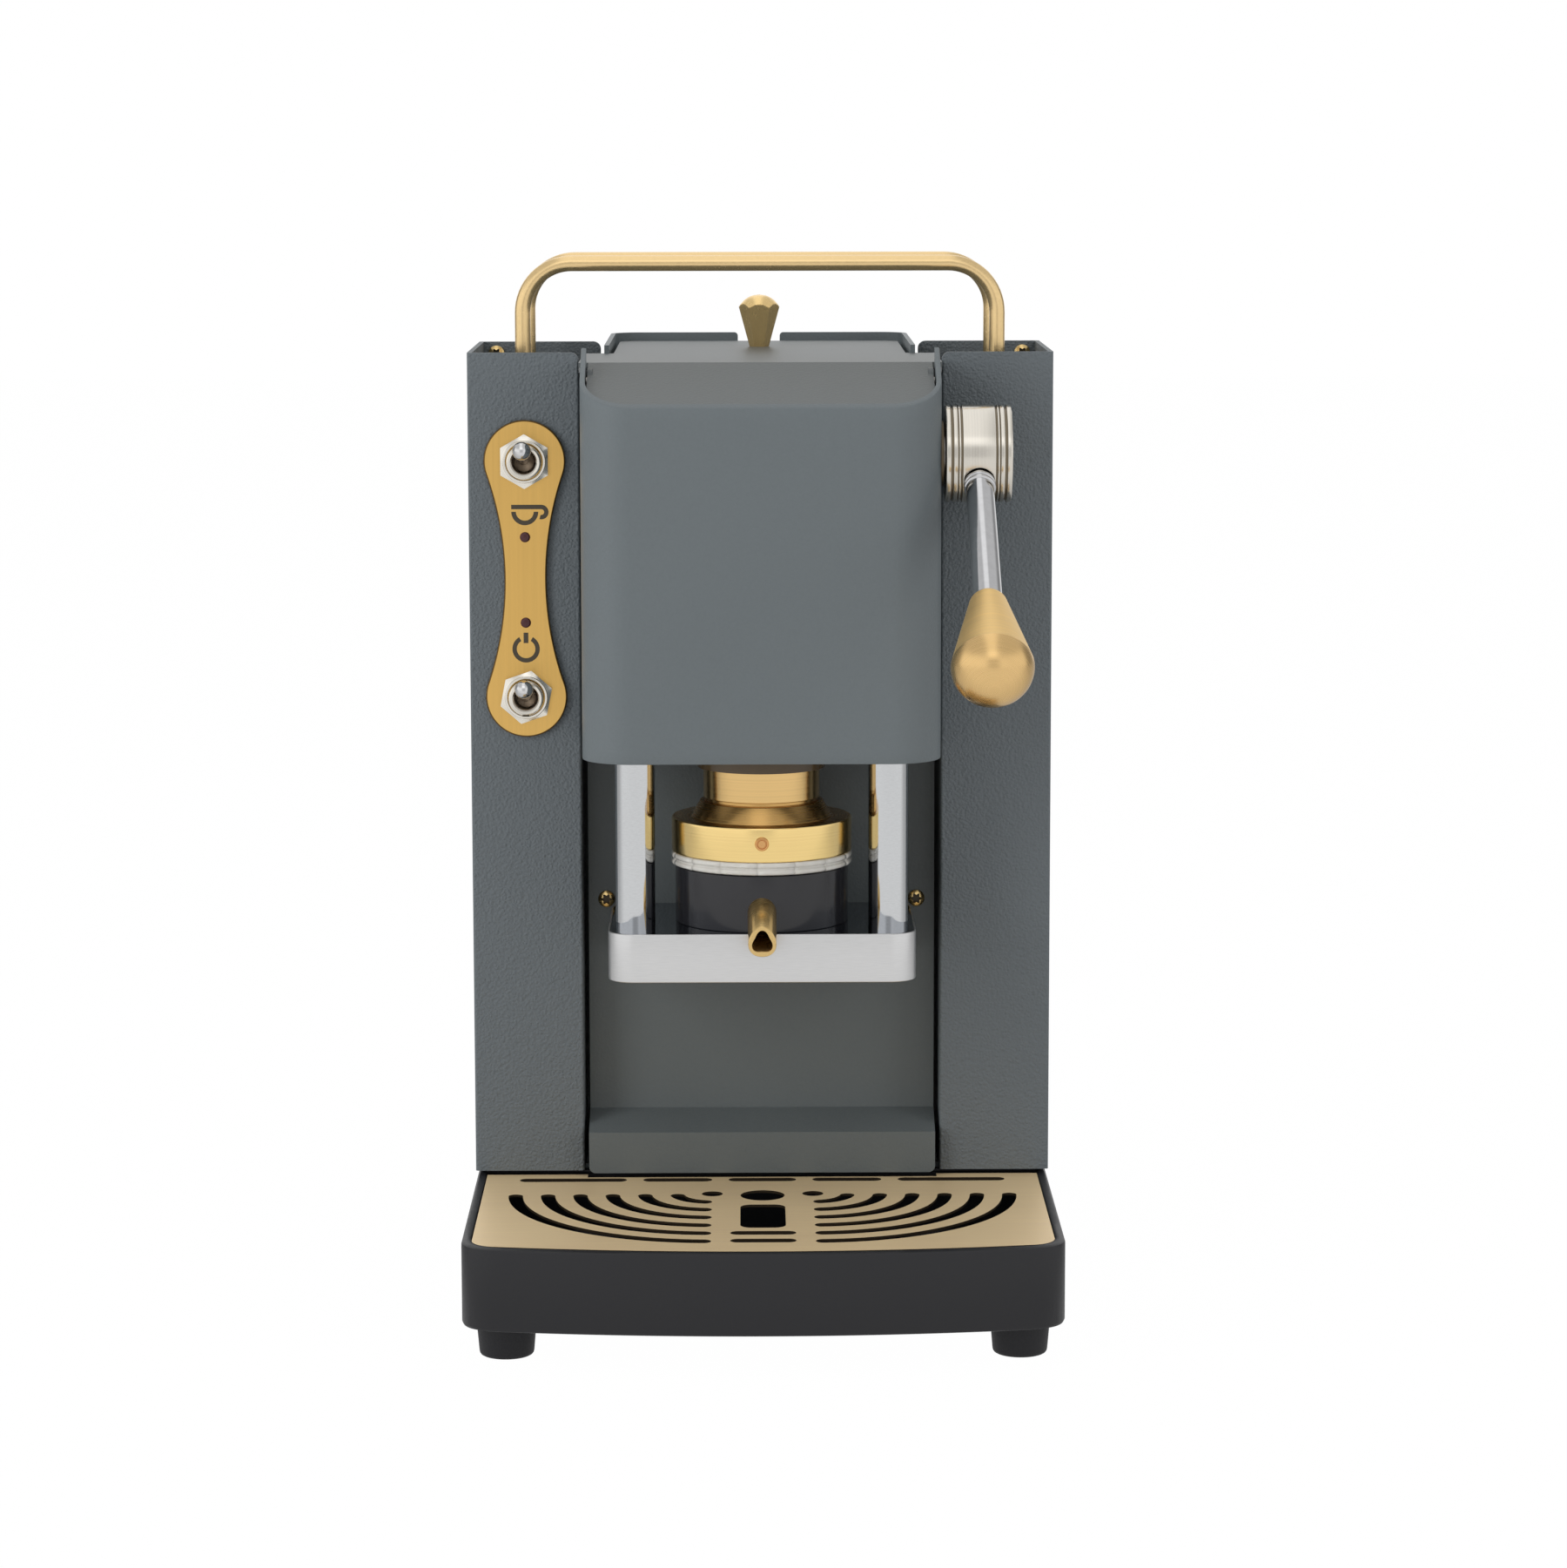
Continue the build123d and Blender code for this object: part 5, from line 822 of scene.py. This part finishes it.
def bored(piece, drills, crease):
    """Cuts closed drill meshes out of a piece with exact booleans and keeps the result as its mesh."""
    drill = bpy.data.objects.new("drill", joined("drill", *drills))
    bpy.context.scene.collection.objects.link(drill)
    cutter = piece.modifiers.new("bore", "BOOLEAN")
    cutter.operation, cutter.solver, cutter.object = "DIFFERENCE", "EXACT", drill
    bpy.context.view_layer.update()
    piece_now = piece.evaluated_get(bpy.context.evaluated_depsgraph_get())
    mesh = bpy.data.meshes.new_from_object(piece_now)
    piece.modifiers.clear()
    piece.data = mesh
    mesh.shade_smooth()
    mesh.set_sharp_from_angle(angle=np.radians(crease))
    bpy.data.objects.remove(drill)


bore_radius, bore_start, bore_end = 4.55, 5.55, 18.0
drill_line = np.array([(0, bore_start), (bore_radius, bore_start), (bore_radius, bore_end), (0, bore_end)])
bored(hub, [lathe("drill", drill_line * mm, rod_foot, lever_way, 64)], 32)
# Painted shade: faces inside the grooves are dark brown
second_finish(
    hub,
    groove_painted_shade,
    lambda at: (np.hypot(at[:, 1] - pivot[1], at[:, 2] - pivot[2]) < hub_radius - 0.1)
    & (np.abs(at[:, 0] - hub_start - hub_length / 2) < hub_length / 2 - 0.7),
)
dress(turned_metal("bush_bronze", (0.16, 0.13, 0.09), hub_foot, shaft_way, 0.4), "shaft_bushes")

# Lever rod: a chromed steel bar pressed into the hub's cross hole, with two small rings turned on
# it where it leaves the hub.
rod_chrome = brushed_metal("rod_chrome", (0.62, 0.62, 0.63), (400.0, 400.0, 400.0), 0.07, 0.01)
rod_radius, rod_ring, rod_start, knob_start = 4.2, 4.75, 5.7, 72.9
rod_line = [(0, rod_start), (rod_radius, rod_start)]
for low, high in ((15.4, 16.5), (17.1, 18.2)):
    rod_line += [(rod_radius, low), (rod_ring, low + 0.2), (rod_ring, high - 0.2), (rod_radius, high)]
rod_line += [(rod_radius, knob_start), (0, knob_start)]
rod_line = eased(rod_line, (0.2, 0.1, 0.15, 0.15, 0.1, 0.1, 0.15, 0.15, 0.1, 0.2), 4)
rod = lathe("rod", rod_line * mm, rod_foot, lever_way, 96)
fit("lever_rod_bar", rod, rod_chrome, "lever", ["lever_rod"])

# Lever knob: a brass cone turned with a round end, brushed satin and screwed to the rod. Its
# profile is a straight flank and then a quarter of an ellipse. The round end is brushed finer than
# the flank, and its brass is painted darker, as shade.
cone_end, cone_radius, ball_rise = 104.2, 11.9, 11.0
ball_turn = np.linspace(np.radians(4), np.pi / 2, 24)[:, None]
knob_ball = np.hstack([cone_radius * np.cos(ball_turn), cone_end + ball_rise * np.sin(ball_turn)])
knob_flank = [(0, knob_start), (4.3, knob_start), (5.4, 74.5), (cone_radius, cone_end)]
knob_line = np.vstack([eased(knob_flank, (0.2, 0.8), 14), knob_ball])
cone_satin = turned_metal("lever_knob_flank_brass", (0.95, 0.66, 0.29), rod_foot, lever_way, 0.5, 0.05, 1400.0)
dome_satin_painted_shade = turned_metal("lever_dome_brass_painted_shade", (0.80, 0.54, 0.24), rod_foot, lever_way, 0.27, 0.05, 1400.0)
knob = lathe("knob", knob_line * mm, rod_foot, lever_way, 128)
knob = fit("lever_knob_cone", knob, cone_satin, "lever", ["lever_knob"], crease=9)
# Painted shade: the round end takes a darker copy of the flank's brass
second_finish(knob, dome_satin_painted_shade, lambda at: (at - rod_foot / mm) @ lever_way > cone_end)

# Switch plate: a brass dog-bone brushed lengthwise, clamped under the switches' nuts. Its outline
# is two lobes joined by two long arcs that touch them. Its rounded edge and bore walls are painted
# dark brown as shadow.
plate_brass = brushed_metal("switch_plate_brass", (0.77, 0.48, 0.145), (1150.0, 1150.0, 9.0), 0.34, 0.25)
plate_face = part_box("switch_plate")[0][1] / mm
switch_x, switch_rise, switch_span = seat("switch_plate")[2][0], seat("switch_plate")[2][2], 35.95
lobe_radius, waist_half = 12.4, 6.4
waist_radius = (switch_span**2 + waist_half**2 - lobe_radius**2) / (2 * (lobe_radius - waist_half))
touch_turn = np.arcsin(switch_span / (waist_radius + lobe_radius))
lobe_turn = np.linspace(-touch_turn, np.pi + touch_turn, 73)
waist_turn = np.linspace(touch_turn, -touch_turn, 49)[1:-1]


def switch_outline(inset):
    """Closed outline as (x, z) about the middle: top lobe, left waist, bottom lobe, right waist."""
    lobe = (lobe_radius - inset) * np.stack([np.cos(lobe_turn), np.sin(lobe_turn)], 1) + (0, switch_span)
    reach = waist_radius + inset
    waist = np.stack([reach * np.cos(waist_turn) - waist_radius - waist_half, reach * np.sin(waist_turn)], 1)
    half = np.vstack([lobe, waist])
    return np.vstack([half, -half])


plate_rows = []
for inset, y in (
    (0.0, face_y),
    (0.0, plate_face + 0.3),
    (0.12, plate_face + 0.12),
    (0.42, plate_face),
):
    outline = switch_outline(inset)
    row = [outline[:, 0] + switch_x, np.full(len(outline), y), outline[:, 1] + switch_rise]
    plate_rows.append(np.stack(row, 1))
plate = skin("switch_plate", np.array(plate_rows) * mm, caps=True)
plate = fit("switch_plate_brass", plate, plate_brass, "root", ["switch_plate"], crease=20)
hole_radius, hole_back, hole_front = 5.35, -3.0, 5.0
hole_line = np.array([(0, hole_back), (hole_radius, hole_back), (hole_radius, hole_front), (0, hole_front)])
switch_feet = [
    np.array([switch_x, face_y, switch_rise + offset]) * mm
    for offset in (-switch_span, switch_span)
]
bored(plate, [lathe("bore", hole_line * mm, foot, forward, 64) for foot in switch_feet], 20)
# Painted shadow: everything behind the front face, the edge and the bores, is dark brown
edge_painted_shadow = brushed_metal("switch_plate_edge_painted_shadow", (0.17, 0.10, 0.035), (900.0, 900.0, 900.0), 0.45)
second_finish(plate, edge_painted_shadow, lambda at: at[:, 1] > plate_face + 0.01)

# Engraved signs: a cup over the upper lamp and the usual power sign over the lower switch,
# sunk marks filled with dark paint.
# The same dark paint also stands for the shade in the lower bushing's keyway
sign_paint_and_painted_shade = moulded("sign_paint_and_painted_shade", (0.058, 0.045, 0.028), 0.5, 900.0, 0.05)


def arc_band(centre, radius, start, end, width, steps=40):
    """Flat band of even width along an arc, as (x, z) pairs on its inner and outer edge."""
    angle = np.radians(np.linspace(start, end, steps))
    around = np.stack([np.cos(angle), np.sin(angle)], 1)
    return np.array([centre + around * (radius - width / 2), centre + around * (radius + width / 2)])


def bar_band(start, end, width):
    """Flat band along a straight line."""
    start, end = np.array(start, float), np.array(end, float)
    across = np.array([end[1] - start[1], start[0] - end[0]]) / np.linalg.norm(end - start) * width / 2
    return np.array([[start - across, end - across], [start + across, end + across]])


def engrave(name, bands):
    """Bands closed at the back, whose paint stands 0.03 mm proud so that the brass does not hide it."""
    sheets = []
    for band in bands:
        rows = np.array([band[0], band[1]])
        front = np.stack([rows[..., 0], np.full(rows.shape[:2], plate_face - 0.03), rows[..., 1]], -1)
        back = np.stack([rows[..., 0], np.full(rows.shape[:2], plate_face + 0.3), rows[..., 1]], -1)
        loop = np.array([front[0], front[1], back[1], back[0]])
        mesh = skin("band", loop * mm, around=False, along=True)
        ends = bpy.data.meshes.new("ends")
        ends.from_pydata((loop[:, [0, -1]].reshape(-1, 3) * mm).tolist(), [], [(0, 2, 4, 6), (1, 3, 5, 7)])
        sheets += [mesh, ends]
    return joined(name, *sheets)


cup_rise, power_fall, stroke = 20.6, 21.3, 1.35
cup = np.array((switch_x, switch_rise + cup_rise))
cup_bands = [
    arc_band(cup, 3.4, 180, 360, 1.4),
    bar_band(cup + (-4.1, 1.45), cup + (5.0, 1.45), stroke),
    arc_band(cup + (5.0, -0.1), 1.55, 90, -105, stroke, 20),
]
power = np.array((switch_x, switch_rise - power_fall))
power_bands = [arc_band(power, 3.5, 120, 420, stroke), bar_band(power + (0, 1.8), power + (0, 5.0), 1.45)]
fit("cup_sign", engrave("cup", cup_bands), sign_paint_and_painted_shade, "root")
fit("power_sign", engrave("power", power_bands), sign_paint_and_painted_shade, "root")

# Toggle switches: black bodies with tin tags inside the column, plated bushings with rolled rims,
# hexagon nuts with turned faces that clamp the plate, and chromed bats on balls. A light brown well
# closes each bushing's bore, painted as the shade inside it.
tag_tin = brushed_metal("tag_tin", (0.72, 0.70, 0.66), (900.0, 60.0, 900.0), 0.35)
bat_chrome = brushed_metal("bat_chrome", (0.66, 0.66, 0.66), (500.0, 500.0, 500.0), 0.05, 0.01)
bushing_painted_shade = moulded("bushing_painted_shade", (0.55, 0.43, 0.31), 0.35, 600.0, 0.05)
bushing_bore, bushing_rim, bushing_radius = 3.75, 6.4, 5.3
bushing_line = [(bushing_bore, -1.4), (bushing_bore, bushing_rim), (4.1, 6.9), (4.8, 7.0), (5.15, 6.8)]
bushing_line += [(bushing_radius, bushing_rim), (bushing_radius, -1.5), (bushing_bore, -1.5)]
well_line = np.array([(3.74, 6.2), (3.7, -1.2), (0, -1.2)]) * mm
nut_bore, nut_back, nut_corner, half_flats = 5.75, 1.6, 8.4, 7.2
nut_line = [(nut_bore, nut_back), (nut_corner, nut_back), (nut_corner, 3.5)]
nut_line = eased(
    nut_line + [(6.5, 3.9), (6.4, 4.4), (nut_bore, 4.4)], (0.05, 0.15, 0.12, 0.1, 0.12, 0.05), 4, closed=True
)
nut_angles = np.arange(192) * np.pi / 96
bat_ball_ahead, bat_tilt = 2.6, np.radians(15)
bat_way = (0, -np.cos(bat_tilt), np.sin(bat_tilt))
bat_line = [(0, -3.4), (2.6, -2.2), (3.4, 0), (1.7, 2.95), (1.75, 6.0)]
bat_line += [(2.05, 13.5), (2.8, 15.6), (2.75, 17.6), (1.6, 19.2), (0, 19.5)]
bat_line = eased(bat_line, (0.8, 1.2, 0.6, 1.0, 1.0, 1.0, 0.9, 0.9), 6)
for place, foot, turn, replaced in zip(("lower", "upper"), switch_feet, (11, 0), ([], ["toggle_nuts"])):
    switch_plating = turned_metal(f"switch_nickel_{place}", (0.84, 0.80, 0.72), foot, forward, 0.22, 0.02)
    bushing = lathe("bushing", np.array(bushing_line) * mm, foot, forward, 72, along=True)
    fit(f"bushing_{place}", joined("bushing", bushing), switch_plating, "root")
    # Painted shade: the well inside each bushing
    well = lathe("well", well_line, foot, forward, 72)
    fit(f"bushing_well_{place}", well, bushing_painted_shade, "root")
    hexagon = half_flats / np.cos((nut_angles + np.radians(turn)) % (np.pi / 3) - np.pi / 6)
    nut_reach = np.minimum(nut_line[:, :1], hexagon[None, :])
    nut_rows = np.column_stack([np.ones(len(nut_line)), nut_line[:, 1]]) * mm
    nut = lathe("nut", nut_rows, foot, forward, along=True, angles=nut_angles, swell=nut_reach)
    fit(f"switch_nut_{place}", nut, switch_plating, "root", replaced, crease=20)
    bat_foot = foot + np.array([0.0, -bat_ball_ahead, 0.0]) * mm
    bat = lathe("bat", bat_line * mm, bat_foot, bat_way, 64)
    fit(f"toggle_bat_{place}", bat, bat_chrome, f"toggle_{place}", [f"toggle_{place}"], crease=60)
# Keyway: a small dark block under the lower bushing, painted shade in place of its slot
keyway_half, keyway_ahead, keyway_root = 1.05, 7.0, 4.6
keyway_low, keyway_high = switch_rise - switch_span - 5.5, switch_rise - switch_span - 4.95
keyway = (keyway_half, face_y - keyway_ahead, face_y - keyway_root, 0.15)
keyway = round_plate("keyway", *keyway, keyway_low, keyway_high, 0.05, 3)
keyway.transform(Matrix.Translation((switch_x * mm, 0, 0)))
fit("bushing_keyway_painted_shade", keyway, sign_paint_and_painted_shade, "root")
body_back = face_y + sheet
body_half, body_deep, body_rise = 8.5, 22.0, 14.0
tag_half, tag_start, tag_end, tag_step, tag_thick = 2.5, 21.5, 29.0, 9.0, 0.375
bodies, tags = [], []
for middle in (switch_rise - switch_span, switch_rise + switch_span):
    body = (body_half, body_back, body_back + body_deep, 0.8, middle - body_rise, middle + body_rise, 0.5, 4)
    bodies.append(round_plate("body", *body))
    for height in (middle - tag_step, middle, middle + tag_step):
        tag = (tag_half, body_back + tag_start, body_back + tag_end, 0.4)
        tags.append(round_plate("tag", *tag, height - tag_thick, height + tag_thick, 0.06, 3))
for mesh in bodies + tags:
    mesh.transform(Matrix.Translation((switch_x * mm, 0, 0)))
fit("toggle_housings", joined("bodies", *bodies), black_plastic, "root", ["toggle_bodies"])
fit("toggle_tags", joined("tags", *tags), tag_tin, "root")
dress(tag_tin, "lid_pins")

# Lamps: two dark red moulded lenses with slightly raised faces, pushed through the plate between
# the switches.
lamp_red = moulded("lamp_red", (0.060, 0.012, 0.014), 0.18, 300.0, 0.02)
lens_radius, lens_back, lens_edge, lens_face = 1.6, -5.0, 2.0, 2.3
lens_line = [(0, lens_back), (lens_radius, lens_back), (lens_radius, lens_edge), (0.0, lens_face)]
lens_line = eased(lens_line, (0.1, 0.5), 5) * mm
lamps = [
    lathe("lens", lens_line, np.array([switch_x, face_y, lamp_z]) * mm, forward, 40)
    for lamp_z in (209.1, 235.2)
]
fit("lamp_lenses", joined("lamps", *lamps), lamp_red, "root", ["indicators"])

# Drip tray: a black moulded basin with a bowed front, a rolled rim and a ledge for the grille. It
# slides out forwards, and its skirt hides the base plate.
tray_plastic = moulded("tray_plastic", (0.0085, 0.0085, 0.0105), 0.45, 1100.0, 0.12)
tray_low, tray_high, _ = seat("drip_tray")
tray_half, tray_back = tray_high[0], face_y - tray_high[1]
tray_bow = face_y - tray_low[1]
tray_corner, tray_round = tray_bow - 8.0, 10.0
ledge = seat("drip_grille")[0][2]


def rounded_plan(inset, radius):
    """The bowed plan with each front corner replaced by a parabola that touches side and front."""
    half, back, corner, bow = tray_half - inset, tray_back + inset, tray_corner - inset, tray_bow - inset
    bulge = bow - corner
    arc_radius = (half**2 + bulge**2) / (2 * bulge)
    x = np.linspace(-half + radius, half - radius, 49)
    front = np.stack([x, bow - arc_radius + np.sqrt(arc_radius**2 - x**2)], 1)
    t = np.linspace(0, 1, 12)[1:, None]
    point, leave = np.array([half, corner]), np.array([half, corner - radius])
    bend = (1 - t) ** 2 * front[-1] + 2 * t * (1 - t) * point + t**2 * leave
    side = np.stack([np.full(5, half), np.linspace(corner - radius, back, 6)[1:]], 1)
    right = np.vstack([bend, side])
    return np.vstack([front, right, right[::-1] * (-1, 1)])


tray_foot, tray_rim = tray_low[2], tray_high[2]
wall_middle, ledge_foot, basin_floor = 24.0, 18.0, 15.9
# Each row is how far it lies inside the outer wall, and its height: up the outside, over the rim
# and down the inside.
tray_rows = []
for inset, z in (
    (2.8, tray_foot + 1.7),
    (2.8, tray_foot),
    (1.2, tray_foot),
    (0.35, tray_foot + 0.35),
    (0.0, tray_foot + 1.2),
    (0.0, wall_middle),
    (0.0, tray_rim - 0.9),
    (0.2, tray_rim - 0.3),
    (0.7, tray_rim),
    (2.3, tray_rim),
    (2.7, tray_rim - 0.15),
    (2.8, tray_rim - 0.5),
    (2.8, ledge),
    (4.6, ledge),
    (4.8, ledge_foot),
    (6.5, basin_floor),
):
    plan = rounded_plan(inset, tray_round)
    tray_rows.append(np.stack([plan[:, 0], face_y - plan[:, 1], np.full(len(plan), z)], 1))
tray = skin("tray", np.array(tray_rows) * mm, caps=True)
fit("tray_basin", tray, tray_plastic, "tray", ["drip_tray"], crease=30)

# Drip grille: champagne-coloured sheet, brushed from side to side, with six nested quarter arcs
# punched on each side. It lies loose on the tray's ledge, and its cut walls are painted near black as
# shade.
grille_brush, slot_painted_shade = (30.0, 1500.0, 1500.0), (0.03, 0.02, 0.01)
grille_brass = brushed_metal("grille_champagne", (1.0, 0.73, 0.43), grille_brush, 0.45, 0.06, 0.4, slot_painted_shade)
dress(grille_brass, "drip_grille")

# Water tank: a thin clear moulded box that stands on a shelf inside the tower, under the lid, with
# a stub below for its outlet valve.
tank_finish, bench = bare_finish("clear_tank")
place = bench.node("ShaderNodeTexCoord", output="Object")
haze = bench.noise(place, 40.0, 3.0)
sockets = {
    "Base Color": haze.tint((0.78, 0.82, 0.84), (0.9, 0.93, 0.95)),
    "Roughness": 0.08 + haze * 0.1,
    "IOR": 1.49,
    "Transmission Weight": 0.7,
}
bench.surface(sockets)
dress(tank_finish, "water_tank")

# Inside parts: the small upright brass boiler on its bracket, the pump's coil block on the plinth,
# the silicone hose from the pump up to the boiler, and the control board on posts in a column.
boiler_foot = (0, front_face + 27 * mm, 0)
dress(turned_metal("boiler_brass", (0.66, 0.47, 0.22), boiler_foot, up, 0.3), "boiler")
dress(moulded("pump_moulding", (0.09, 0.09, 0.10), 0.45, 400.0, 0.1), "pump")
dress(moulded("board_green", (0.015, 0.09, 0.045), 0.35, 500.0, 0.05), "control_board")
dress(moulded("hose_silicone", (0.75, 0.74, 0.70), 0.3, 400.0, 0.03), "feed_hose")
